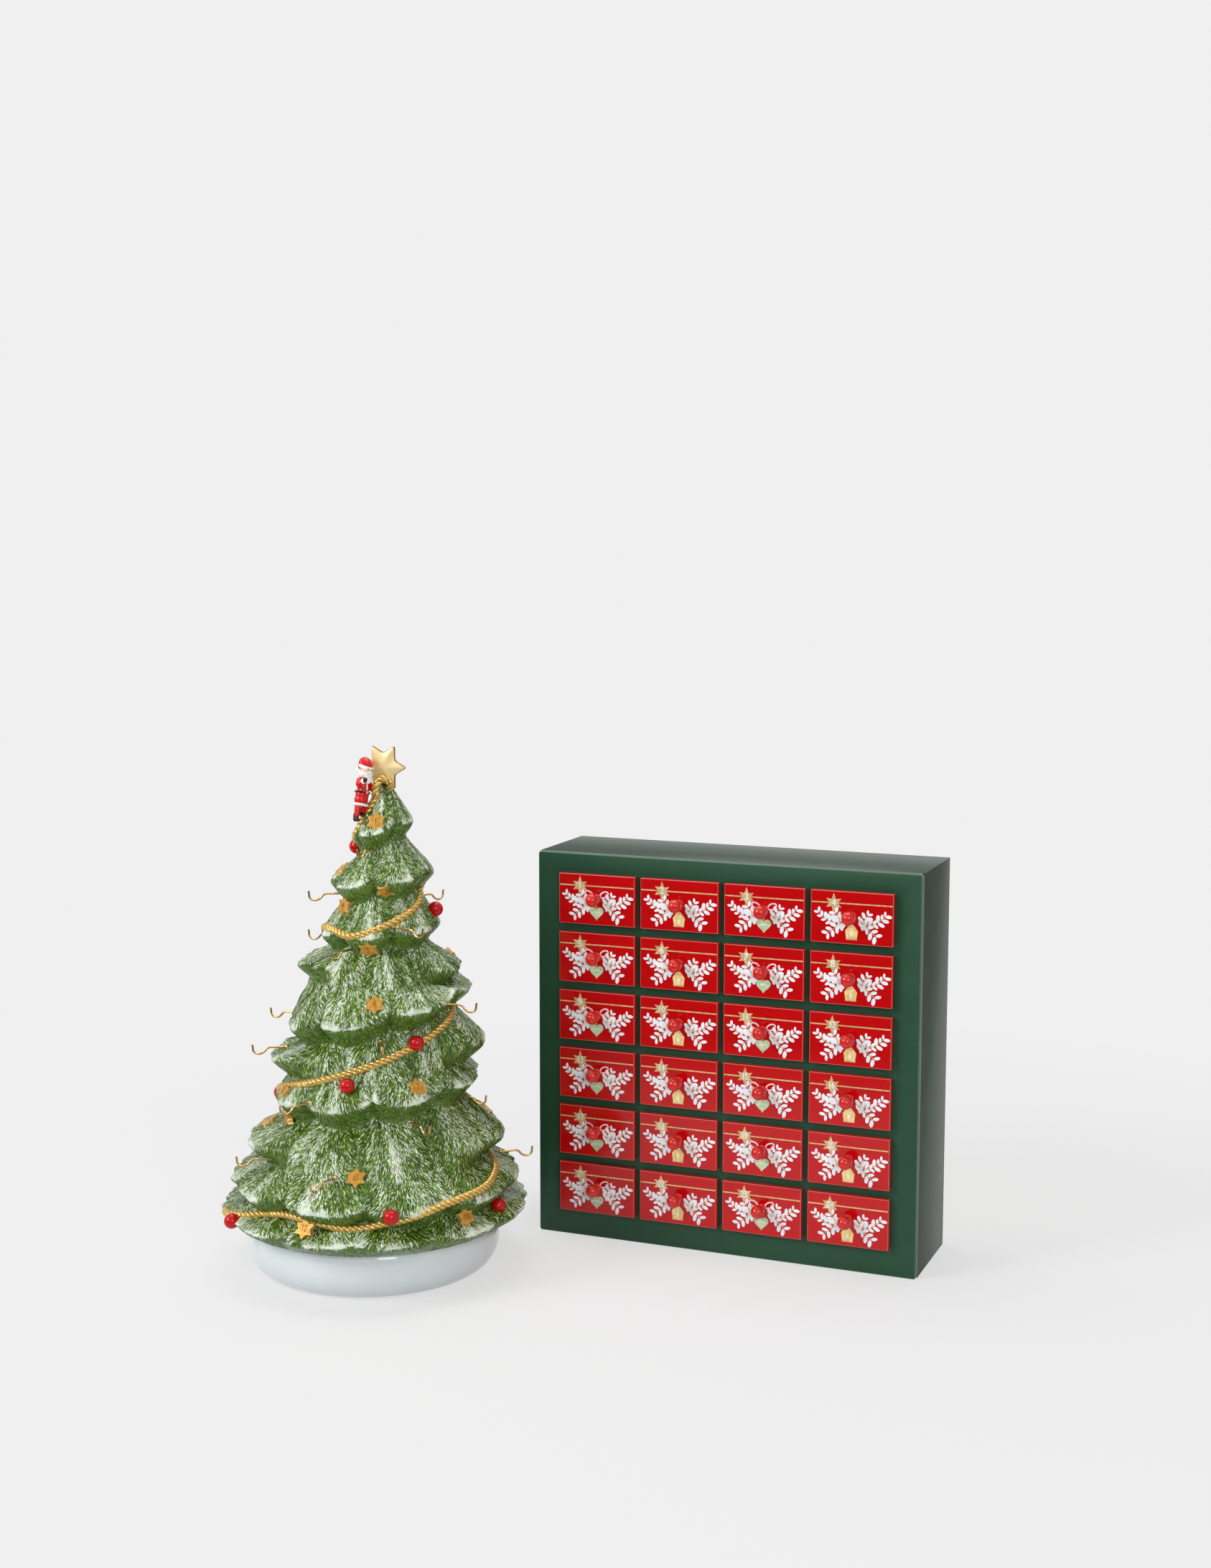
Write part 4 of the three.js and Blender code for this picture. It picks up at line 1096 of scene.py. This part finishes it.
stroke_size = add(tree, "ShaderNodeCombineXYZ", {
    "X": out(given, "Length"), "Y": out(given, "Width"), "Z": out(given, "Proud")})
stroke = add(tree, "GeometryNodeTransform", {"Geometry": out(laid_drop), "Scale": out(stroke_size)})
strokes = add(tree, "GeometryNodeInstanceOnPoints", {
    "Points": out(strewn, "Points"), "Instance": out(stroke), "Rotation": out(laid),
    "Scale": at_random(tree, given, (0.55, 0.7, 0.7), (1.35, 1.3, 1.3))})
loaded = reckon(tree, "ADD", stored(tree, "snow_lie", "FLOAT"),
                at_random(tree, given, -0.35, 0.75))
whiteness = reckon(tree, "SUBTRACT", loaded, stored(tree, "under_bough", "FLOAT"))
marked = add(tree, "GeometryNodeStoreNamedAttribute", {
    "Geometry": out(strokes), "Name": "brush_white", "Value": whiteness}, data_type="FLOAT",
    domain="INSTANCE")
needle_strokes = finished(tree, given, out(marked))

needle_glaze, tree, shader = finish("needle_glaze", shine=0.3, coat_weight=0.12, coat_roughness=0.05)
brushed = use(tree, brushed_colour, 220.0, 1600.0)
stroke_load = attribute(tree, "brush_white")  # runs from low to high among the strokes of a spot
lit_green = blend_colours(tree, ramp(tree, stroke_load, -0.3, 0.75), "203e05", "84aa28")
band_green = blend_colours(tree, ramp(tree, stroke_load, -1.35, -0.25), "1f3d0b", "83a44f")
needle_green = blend_colours(tree, attribute(tree, "under_bough"), lit_green, band_green)
white_share = ramp(tree, reckon(tree, "ADD", stroke_load, out(brushed, "Flecks")), 1.04, 1.26)
tint(tree, shader, white_share, needle_green, "e6eedc")
roughen(tree, shader, white_share, 0.16, 0.36)
stroke_width, stroke_proud = 0.172, 0.128  # of a stroke's length
needle_zones = [  # name, from and to in mm up the tree, strokes per square metre, their length in mm
    ("skirt", 0, 78, 560000.0, 4.9), ("lower", 78, 132, 560000.0, 4.9), ("middle", 132, 200, 580000.0, 4.8),
    ("upper", 200, 290, 620000.0, 4.6), ("tip", 290, tip_height, 820000.0, 4.0)]
for zone, low, high, density, length in needle_zones:
    needles = grow(body_mesh, needle_strokes, Density=density, From_Height=low * mm, To_Height=high * mm,
                   Length=length * mm, Width=stroke_width * length * mm, Proud=stroke_proud * length * mm,
                   Waver=0.16, Seed=11, Finish=needle_glaze)
    piece("needles_" + zone, needles, "tree", "green_glaze", needle_glaze)


# Rope garland: a three-ply cord in the casting, winding up and round the tree to its tip, gilded, with
# painted shade darkening the grooves of its twist. Its last turn runs through the climbing figure's hand to
# the tip.

rope_radius, strand_radius, rope_pitch = 3.6 * mm, 1.75 * mm, 15 * mm
rope_sink = 0.3  # mm of its middle below the outermost boughs


def up_the_tree(*spots):
    """Spots whose second number is turned from per cent of the tree's height into mm."""
    return [(turn, share * tip_height / 100, *rest) for turn, share, *rest in spots]


rope_spots = up_the_tree(  # degrees round from the front, and height
    (-90, 11.9), (-61, 14.7), (-45, 16.6), (-30, 16.9), (-10, 15.4), (7, 17.1), (28, 19.5), (57, 20.7),
    (90, 22.8), (180, 29.5), (260, 36.1), (289, 39.2), (317, 41.6), (340, 43.9), (362, 46.1), (387, 48.7),
    (424, 52.5), (450, 54.4), (540, 62.2), (610, 68.9), (638, 70.8), (668, 70.8), (690, 70.3),
    (729, 72.7), (768, 75.5), (810, 78.6), (900, 83.1), (970, 86.9), (998, 89.5), (1026, 95.2),
    (1060, 98.8))
figure_height = 52.0
figure_pose = (Matrix.Translation((-9, -14, tip_height - 32)) @ Matrix.Rotation(math.radians(-11), 4, "X")
               @ Matrix.Rotation(math.radians(9), 4, "Y") @ Matrix.Rotation(math.radians(40), 4, "Z")
               @ Matrix.Scale(figure_height, 4))
right_hand, left_hand = Vector((-0.12, -0.17, 0.68)), Vector((0.13, -0.17, 0.62))


def through(points, spacing):
    """A smooth path through points, with samples about this far apart."""
    knots = np.array([tuple(p) for p in points], dtype=float)
    chords = np.linalg.norm(np.diff(knots, axis=0), axis=1)
    places = np.concatenate([[0], np.cumsum(np.sqrt(chords))])
    slopes = np.gradient(knots, places, axis=0)
    path = []
    for i, chord in enumerate(chords):
        gap = places[i + 1] - places[i]
        for s in np.linspace(0, 1, max(1, round(chord / spacing)), endpoint=False):
            path.append((2 * s**3 - 3 * s**2 + 1) * knots[i] + (s**3 - 2 * s**2 + s) * gap * slopes[i]
                        + (3 * s**2 - 2 * s**3) * knots[i + 1] + (s**3 - s**2) * gap * slopes[i + 1])
    return np.array(path + [knots[-1]])


winding = through(rope_spots, 3.0)
reach = np.array([max(radius_at(math.radians(turn + side), z) for side in (-5, 0, 5)) - rope_sink
                  for turn, z in winding])
slack = np.array([1, 2, 3, 2, 1]) / 9
reach[2:-2] = np.convolve(reach, slack, "valid")
rope_path = [on_tree(math.radians(turn), z, r) for (turn, z), r in zip(winding, reach)]
tip_top = on_tree(0, tip_height, 0)
rope_path = through([*rope_path[:-6:3], figure_pose @ (left_hand + Vector((0.02, 0.03, -0.12))),
                     figure_pose @ left_hand, tip_top + Vector((-2, -7, 3.5)),
                     tip_top + Vector((5, -6.5, 0.5)), tip_top + Vector((4, -1, -9))], 2.0)
rope_path = [on_ground @ Vector(point) for point in rope_path]

tree, given = geometry_tree("three_ply_rope", ["Step", "Rope Radius", "Strand Radius", "Pitch"])
path_line = add(tree, "GeometryNodeResampleCurve", {
    "Curve": out(add(tree, "GeometryNodeMeshToCurve", {"Mesh": out(given, "Geometry")})),
    "Length": out(given, "Step")}, mode="LENGTH")
gone = out(add(tree, "GeometryNodeSplineParameter"), "Length")
turns = reckon(tree, "DIVIDE", gone, out(given, "Pitch"))
off_axis = reckon(tree, "SUBTRACT", out(given, "Rope Radius"), out(given, "Strand Radius"))
outward = out(add(tree, "GeometryNodeInputNormal"))
aside = add(tree, "ShaderNodeVectorMath", {
    0: out(add(tree, "GeometryNodeInputTangent")), 1: outward}, operation="CROSS_PRODUCT")
strands = add(tree, "GeometryNodeJoinGeometry")
for ply in (0.0, 2 * math.pi / 3, 4 * math.pi / 3):
    lay = reckon(tree, "MULTIPLY_ADD", turns, 2 * math.pi, ply)
    parts_of_turn = []
    for function, direction in (("COSINE", outward), ("SINE", out(aside, "Vector"))):
        length = reckon(tree, "MULTIPLY", reckon(tree, function, lay), off_axis)
        parts_of_turn.append(out(add(tree, "ShaderNodeVectorMath", {0: direction, "Scale": length},
                                     operation="SCALE")))
    offset = add(tree, "ShaderNodeVectorMath", dict(enumerate(parts_of_turn)), operation="ADD")
    strand = add(tree, "GeometryNodeSetPosition", {"Geometry": out(path_line), "Offset": out(offset)})
    tree.links.new(out(strand), strands.inputs[0])
section = add(tree, "GeometryNodeCurvePrimitiveCircle",
              {"Resolution": 8, "Radius": out(given, "Strand Radius")})
laid_up = add(tree, "GeometryNodeCurveToMesh", {
    "Curve": out(strands), "Profile Curve": out(section), "Fill Caps": True})
from_core = add(tree, "GeometryNodeProximity", {0: out(given, "Geometry")}, target_element="EDGES")
crown = reckon(tree, "DIVIDE", out(from_core, "Distance"), out(given, "Rope Radius"))
marked = add(tree, "GeometryNodeStoreNamedAttribute", {
    "Geometry": out(laid_up), "Name": "rope_crown", "Value": crown}, data_type="FLOAT", domain="POINT")
three_ply_rope = finished(tree, given, out(marked))

rope_gilding, tree, shader = finish("rope_gilding", metallic=0.55)
flecks = out(use(tree, brushed_colour, 150.0, 1200.0), "Flecks")
# Painted shade: the gold darkens towards the rope's core, in the grooves of its twist
crown_and_flecks = reckon(tree, "ADD", attribute(tree, "rope_crown"), reckon(tree, "MULTIPLY", flecks, 0.35))
out_of_groove_shade = ramp(tree, crown_and_flecks, 0.66, 1.0)
tint(tree, shader, out_of_groove_shade, "5f370c", "d6b162")
roughen(tree, shader, out_of_groove_shade, 0.5, 0.22)
rope_mesh = grow(polyline([rope_path]), three_ply_rope, Step=1.1 * mm, Rope_Radius=rope_radius,
                 Strand_Radius=strand_radius, Pitch=rope_pitch, Finish=rope_gilding)
piece("rope_garland", rope_mesh, "tree", "gold", rope_gilding)


# Number stars: 24 flat six-pointed stars standing a little out of the boughs, one to each drawer, gilded
# with a raised rim in a lighter gold as a painted highlight, and a dark number painted on each.

star_reach, star_notch, star_back, star_proud = 9.3, 5.5, 3.4, 1.5  # mm
star_clear = 0.6  # mm that a star stands out of the boughs
star_spots = up_the_tree(
    (-16, 92.6), (-84, 82.2), (6, 79.3), (-57, 75.5), (-13, 67.7), (-3, 57.7), (24, 41.1), (-74, 32.3),
    (-92, 29.9), (-72, 38), (-9, 24.9), (-28, 15.4), (39, 15.7), (100, 30.9), (140, 23.8), (165, 38),
    (-170, 28.5), (-135, 42.8), (150, 51.1), (-160, 55.8), (110, 62.9), (170, 68.9), (-130, 73.6),
    (150, 83.1))


def star_shell(levels, reach, notch, first_turn=90.0):
    """A closed six-pointed star facing +Z, through levels that are a share of its size and a height."""
    edge_points, blunting = 5, 0.035
    corners = []
    for i in range(12):
        turn = math.radians(first_turn + 30 * i)
        size = notch if i % 2 else reach
        corners.append(Vector((size * math.cos(turn), size * math.sin(turn), 0)))
    outline = []
    for i, corner in enumerate(corners):
        before, after = corners[i - 1], corners[(i + 1) % 12]
        outline.append(corner + blunting * (before + after - 2 * corner))
        outline += [corner.lerp(after, (k + 1) / edge_points) for k in range(edge_points - 1)]
    count, last = len(outline), (len(levels) - 1) * len(outline)
    points = [tuple(Vector((p.x * share, p.y * share, z))) for share, z in levels for p in outline]
    points += [(0, 0, levels[0][1]), (0, 0, levels[-1][1])]
    faces = []
    for i in range(len(levels) - 1):
        faces += faces_between(i * count, (i + 1) * count, count)
    for j in range(count):
        k = (j + 1) % count
        faces += [(k, j, len(points) - 2), (last + j, last + k, len(points) - 1)]
    return mesh_of("star", np.array(points) * mm, faces)


def spot_frame(turn, z, radius, span):
    """A point on the tree with its outward and upward directions along the slope there, on the ground."""
    angle = math.radians(turn)
    tilt = math.atan2(radius_at(angle, z - span) - radius_at(angle, z + span), 2 * span)
    outward = Vector((math.sin(angle) * math.cos(tilt), -math.cos(angle) * math.cos(tilt), math.sin(tilt)))
    upward = Vector((-math.sin(angle) * math.sin(tilt), math.cos(angle) * math.sin(tilt), math.cos(tilt)))
    turned_round = tree_place.to_3x3()
    return on_ground @ on_tree(angle, z, radius), turned_round @ outward, turned_round @ upward


star_frames = []
for turn, z in star_spots:
    span = 0.7 * star_reach
    angle = math.radians(turn)
    level = (radius_at(angle, z - span) + radius_at(angle, z + span)) / 2
    star_frames.append(spot_frame(turn, z, max(radius_at(angle, z), level) + star_clear, span))

star_body = star_shell([(1, -star_back), (1, 0.6 * star_proud), (0.985, 0.85 * star_proud),
                        (0.95, star_proud)], star_reach, star_notch)
star_face = star_shell([(0.92, 0), (0.92, 1.01 * star_proud), (0.6, 1.06 * star_proud),
                        (0.3, 1.1 * star_proud)], star_reach, star_notch)
# The rim's lighter gold is a painted highlight on its chamfer
star_rim_highlight = printed_colour("star_rim_gilding", "c99b4c", "e8c47c", 0.28, metallic=0.4)
star_gilding = printed_colour("star_face_gilding", "b57d25", "cf9b44", 0.36, metallic=0.2)
number_paint = printed_colour("number_paint", "80541c", "966728", 0.45)
number_high, one_digit, two_digits = 5.8, 0.85, 0.66  # mm, and how narrow the digits are painted
numbers = []
for index, (place, outward, upward) in enumerate(star_frames):
    right = upward.cross(outward)
    raised = place + outward * 1.1 * star_proud * mm
    setting = Matrix((right, -outward, upward)).transposed().to_4x4()
    number = lettering(str(index + 1), number_high, one_digit if index < 9 else two_digits)
    number.transform(Matrix.Translation(raised) @ setting)
    numbers.append((number, 2))
star_set = joined([(copies(star_body, star_frames, star_rim_highlight), 0),
                   (copies(star_face, star_frames, star_gilding), 1), *numbers])
piece("number_stars", star_set, "tree", "gold", star_rim_highlight, star_gilding, number_paint)


# Red balls: twelve round baubles modelled in the casting, bedded in the boughs and glazed in a deep red
# that pools round their foot.

ball_radius, ball_sink, ball_span = 6.6, 2.5, 6  # mm
ball_spots = up_the_tree(
    (-66, 13.3), (6, 18.8), (62, 15), (-18, 42), (27, 49.4), (80, 74.1), (-100, 35.2), (-110, 86.7),
    (120, 26.1), (175, 32.1), (-135, 59.4), (160, 58.2))
ball_profile = [(0, -ball_radius)]
for step in range(1, 16):
    turn = math.pi * step / 16
    ball_profile.append((ball_radius * math.sin(turn), -ball_radius * math.cos(turn)))
ball_profile.append((0, ball_radius))
ball = turned(ball_profile, 28)
ball_glaze = layered(
    "ball_glaze", fired_glaze, (140.0,), ("ae0406", "cc1010"), ("Pinholes", 0.3, 0.09), 0.1,
    shine=0.2, coat_weight=0.25, coat_roughness=0.03)
ball_frames = [spot_frame(turn, z, radius_at(math.radians(turn), z) + ball_radius - ball_sink, ball_span)
               for turn, z in ball_spots]
piece("red_balls", copies(ball, ball_frames, ball_glaze), "tree", "painted_porcelain", ball_glaze)


# Hooks: 24 bent brass wires cemented into sockets in the boughs, for the small gifts. Each steps down
# and turns up at its tip, and a brass bead covers the cement at its root.

wire_radius = 0.9  # mm, as all of the hook's sizes
hook_shank, hook_dip, hook_mouth, hook_tip_rise, hook_root = 14, 5.5, 8, 2.5, 4.7
hook_spots = up_the_tree(  # with the heading of each hook
    (-73, 77.7, -90), (128, 75.5, 128), (-23, 87.2, -27.5), (18, 72, 46), (-37, 67.2, -37),
    (-115, 50.8, -117.5), (45, 56.8, 69), (-90, 45.6, -90), (1, 49.9, 6), (127, 41.8, 127),
    (-125, 33.5, -125), (-41, 37.8, -56), (58, 37.3, 62.5), (22, 33.7, 34), (-64, 25.2, -90),
    (100, 20.9, 103), (-19, 24.7, -42), (180, 21.9, 180), (152.5, 33.7, 152.5), (-117.5, 23.8, -117.5),
    (-172, 48.9, -172), (152.5, 62.2, 152.5), (-117.5, 67.9, -117.5), (152.5, 79.6, 152.5))
hook_bend = 0.45 * hook_dip
hook_low = hook_shank + 0.8 * hook_dip + hook_bend
hook_path = through([
    (0, hook_root, 0), (0, -hook_shank / 2, 0), (0, -hook_shank, 0),
    (0, -hook_shank - hook_bend, -0.35 * hook_bend),
    (0, -hook_low + 0.7 * hook_bend, 0.7 * hook_bend - hook_dip),
    (0, -hook_low - 0.2 * hook_mouth, -hook_dip),
    (0, -hook_low - 0.65 * hook_mouth, -0.96 * hook_dip),
    (0, -hook_low - 0.95 * hook_mouth, -0.55 * hook_dip),
    (0, -hook_low - hook_mouth, 0), (0, -hook_low - 1.05 * hook_mouth, hook_tip_rise)], 0.7)
hook_paths, bead_frames = [], []
for turn, z, heading in hook_spots:
    angle = math.radians(turn)
    root = on_tree(angle, z, radius_at(angle, z))
    set_in = on_ground @ Matrix.Translation(root) @ Matrix.Rotation(math.radians(heading), 4, "Z")
    hook_paths.append([set_in @ Vector(point) for point in hook_path])
    outward = (set_in.to_3x3() @ Vector((0, -1, 0))).normalized()
    bead_frames.append((set_in @ Vector((0, 0.5, 0)), outward, (0, 0, 1)))
brass_wire = layered(
    "brass_wire", brushed_colour, (300.0, 2500.0), ("b58544", "e8c58a"), ("Flecks", 0.16, 0.36),
    metallic=1.0)
bead_profile = [(0, -1.5), (1.5, -1.5), (2.1, -0.4), (2.25, 0.5), (2.05, 1.3), (1.5, 1.95), (0.85, 2.25),
                (0, 2.3)]
bead = turned(bead_profile, 16)
hook_set = joined([
    (grow(polyline(hook_paths), drawn_wire, Step=0.7 * mm, Radius=wire_radius * mm, Sides=10,
          Finish=brass_wire), 0),
    (copies(bead, bead_frames, brass_wire), 0)])
hooks = piece("brass_hooks", hook_set, "tree", "brass_wire", brass_wire)
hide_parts(*["hook_%02d" % (i + 1) for i in range(len(hook_spots))])


# Tip star: a thick pillowed star with two points up, cast on its own, pegged into the tree's tip, and
# gilded pale on its faces, with a darker gold on its sides as painted shade.

tip_star_reach, tip_star_turn, tip_star_lift = 21.5, -25, 13
tip_half, tip_ridge = 3.0, 1.6
tip_levels = []
for share, rise in ((0.04, 1.0), (0.2, 0.97), (0.4, 0.88), (0.6, 0.74), (0.78, 0.52), (0.9, 0.28),
                    (0.965, 0.06), (0.99, -0.25), (1.0, -0.6)):
    tip_levels.append((share, tip_half - tip_ridge + tip_ridge * rise))
levels = [(share, -z) for share, z in tip_levels] + [(share, z) for share, z in reversed(tip_levels)]
tip_star_mesh = star_shell(levels, tip_star_reach, 0.577 * tip_star_reach, 60.0)
# The side faces take the darker gold, painted shade on the star's edges
for face in tip_star_mesh.polygons:
    if abs(face.center.z) < (tip_half - tip_ridge + 0.12 * tip_ridge) * mm:
        face.material_index = 1
peg_profile = [(0, -21), (1.6, -21), (2, -20.4), (2, -8), (0, -8)]
peg_mesh = turned(peg_profile, 20)
tip_star_mesh.transform(Matrix.Rotation(math.pi / 2, 4, "X"))
star_setting = (Matrix.Translation((tree_lean * mm, 0, (tip_height + tip_star_lift) * mm))
                @ Matrix.Rotation(math.radians(tip_star_turn), 4, "Z"))
tip_star_mesh.transform(tree_place @ star_setting)
peg_mesh.transform(tree_place @ star_setting)
tip_gold = layered(
    "tip_star_gilding", brushed_colour, (70.0, 900.0), ("e6cb8c", "f4e0a8"), ("Flecks", 0.28, 0.46),
    shine=0.5, metallic=0.3)
# The darker gold of the sides is painted shade; the hidden peg takes it too
shaded_edge_gold = printed_colour("tip_star_edge", "7d5620", "a87b36", 0.36, metallic=0.5)
tip_star = piece("tip_star_cast", tip_star_mesh, "tree", "gold", tip_gold, shaded_edge_gold)
piece("tip_star_peg", peg_mesh, "tree", "gold", shaded_edge_gold)
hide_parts("tip_star")


# Climbing figure: Father Christmas in painted porcelain, going up the rope's last turn with his hands on
# the star. Cast on his own and bedded on the tip; his coat, cap and trousers are red with white trims.

fur, coat_red, skin, leather, buckle_gold = range(5)
figure_finishes = [
    printed_colour("trim_white", "e9e6df", "fbfaf6", 0.35, coat_weight=0.4, coat_roughness=0.1),
    printed_colour("coat_red_glaze", "c00d12", "dc1a1c", 0.2, coat_weight=0.15, coat_roughness=0.06),
    printed_colour("face_blush", "e3b39a", "f0c8b2", 0.34, coat_weight=0.4, coat_roughness=0.1),
    printed_colour("boot_black", "17140f", "2c2621", 0.22, coat_weight=0.15, coat_roughness=0.06),
    printed_colour("buckle_gilding", "b98a3a", "e0b964", 0.3, metallic=0.5),
]


def mass(x, y, z, wide, deep, high):
    """A rounded mass of the figure, in shares of its height."""
    form = bmesh.new()
    bmesh.ops.create_uvsphere(form, u_segments=24, v_segments=14, radius=1)
    bmesh.ops.transform(form, matrix=Matrix.Translation((x, y, z)) @ Matrix.Diagonal((wide, deep, high, 1)),
                        verts=form.verts)
    return mesh_from(form, "mass")


def limb(points, start, end):
    """A tapering row of masses along a path, as masses that fuse into one limb."""
    path = through(points, 0.012)
    return [mass(*p, *[lerp(start, end, i / (len(path) - 1))] * 3) for i, p in enumerate(path)]


def band(z, wide, deep, thick, y=0.0, tilt=0.0, count=22):
    """A ring of masses round the body, level with a height."""
    masses = []
    for i in range(count):
        turn = 2 * math.pi * i / count
        x, side = wide * math.cos(turn), deep * math.sin(turn)
        masses.append(mass(x, y + side, z + tilt * side, thick, thick, thick))
    return masses


def fused(masses, voxel=0.011, passes=4):
    """The masses as one smooth modelled form."""
    holder = put_in_scene("fusing", joined([(m, 0) for m in masses]))
    modeller = holder.modifiers.new("fuse", "REMESH")
    modeller.mode, modeller.voxel_size = "VOXEL", voxel
    soften = holder.modifiers.new("soften", "SMOOTH")
    soften.factor, soften.iterations = 0.5, passes
    return evaluated(holder)


# Places and sizes in shares of the figure's height, with its soles at 0 and its front towards -Y
shoulders = {-1: (-0.085, 0.015, 0.675), 1: (0.085, 0.015, 0.675)}
elbows = {-1: (-0.15, -0.06, 0.6), 1: (0.155, -0.06, 0.56)}
hands = {-1: right_hand, 1: left_hand}
coat = [mass(0, 0.005, 0.36, 0.118, 0.112, 0.1), mass(0, 0, 0.45, 0.115, 0.108, 0.13),
        mass(0, 0.005, 0.6, 0.112, 0.1, 0.13), mass(0, -0.035, 0.5, 0.09, 0.085, 0.1)]
for side in (-1, 1):
    coat += limb([shoulders[side], elbows[side], hands[side].lerp(Vector(elbows[side]), 0.2)], 0.052, 0.04)
coat += limb([(-0.052, 0.0, 0.3), (-0.055, -0.012, 0.1)], 0.06, 0.046)
coat += limb([(0.055, 0.0, 0.32), (0.075, -0.03, 0.27), (0.06, -0.005, 0.18)], 0.06, 0.046)
cap = limb([(0, 0.0, 0.875), (0, 0.03, 0.93), (-0.005, 0.085, 0.935), (-0.015, 0.115, 0.86)], 0.084, 0.022)
cap_trims = band(0.865, 0.078, 0.078, 0.024, 0.0, 0.25) + [mass(-0.02, 0.122, 0.82, 0.034, 0.034, 0.034)]
trims = band(0.285, 0.11, 0.105, 0.026, 0.005)
trims += [mass(0, -0.11 + 0.35 * abs(z - 0.55), z, 0.02, 0.014, 0.02) for z in np.linspace(0.3, 0.68, 16)]
for side in (-1, 1):
    wrist = hands[side].lerp(Vector(elbows[side]), 0.28)
    trims += [mass(*wrist, 0.05, 0.038, 0.05)]
beard = [mass(0, -0.07, 0.745, 0.062, 0.035, 0.055), mass(0, -0.085, 0.7, 0.045, 0.028, 0.05),
         mass(0, 0.03, 0.79, 0.08, 0.06, 0.07)]
for side in (-1, 1):
    beard += limb([(0.008 * side, -0.098, 0.798), (0.035 * side, -0.094, 0.79),
                   (0.055 * side, -0.07, 0.775)], 0.016, 0.008)
    beard += [mass(0.064 * side, -0.03, 0.77, 0.03, 0.04, 0.045)]
head = [mass(0, -0.012, 0.82, 0.078, 0.082, 0.078), mass(0, -0.1, 0.815, 0.016, 0.016, 0.014)]
head += [mass(0.035 * side, -0.078, 0.808, 0.02, 0.016, 0.016) for side in (-1, 1)]
boots = limb([(-0.055, 0.005, 0.11), (-0.055, 0.0, 0.04)], 0.05, 0.047)
boots += [mass(-0.055, -0.045, 0.03, 0.044, 0.066, 0.03), mass(0.06, -0.04, 0.125, 0.044, 0.064, 0.03)]
boots += limb([(0.06, 0.005, 0.2), (0.06, 0.002, 0.135)], 0.05, 0.047)
gloves = []
for side in (-1, 1):
    gloves += [mass(*hands[side], 0.04, 0.034, 0.044),
               mass(*(hands[side] + Vector((-0.03 * side, -0.006, 0.014))), 0.014, 0.014, 0.028)]
belt = band(0.49, 0.117, 0.112, 0.019, count=48)
eyes = [mass(0.028 * side, -0.088, 0.835, 0.009, 0.006, 0.011) for side in (-1, 1)]
buckle = [mass(0, -0.128, 0.49, 0.028, 0.01, 0.024)]
neck = Matrix.Translation((0, -0.01, 0.72))
head_share = 1.28  # of plain proportions, as small porcelain figures have it
head_parts = [(fused(cap), coat_red), (fused(cap_trims, 0.009, 3), fur), (fused(beard, 0.009, 2), fur),
              (fused(head), skin), *[(eye, leather) for eye in eyes]]
for mesh, finish_place in head_parts:
    mesh.transform(neck @ Matrix.Scale(head_share, 4) @ neck.inverted())
figure_mesh = joined([
    (fused(coat), coat_red), (fused(trims, 0.009, 3), fur), (fused(boots), leather),
    (fused(gloves, 0.009, 2), leather), (fused(belt, 0.009, 2), leather),
    *[(m, buckle_gold) for m in buckle], *head_parts])
figure_mesh.transform(on_ground @ figure_pose)
figure = piece("father_christmas", figure_mesh, "tree", "painted_porcelain", *figure_finishes)
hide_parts("climbing_figure")
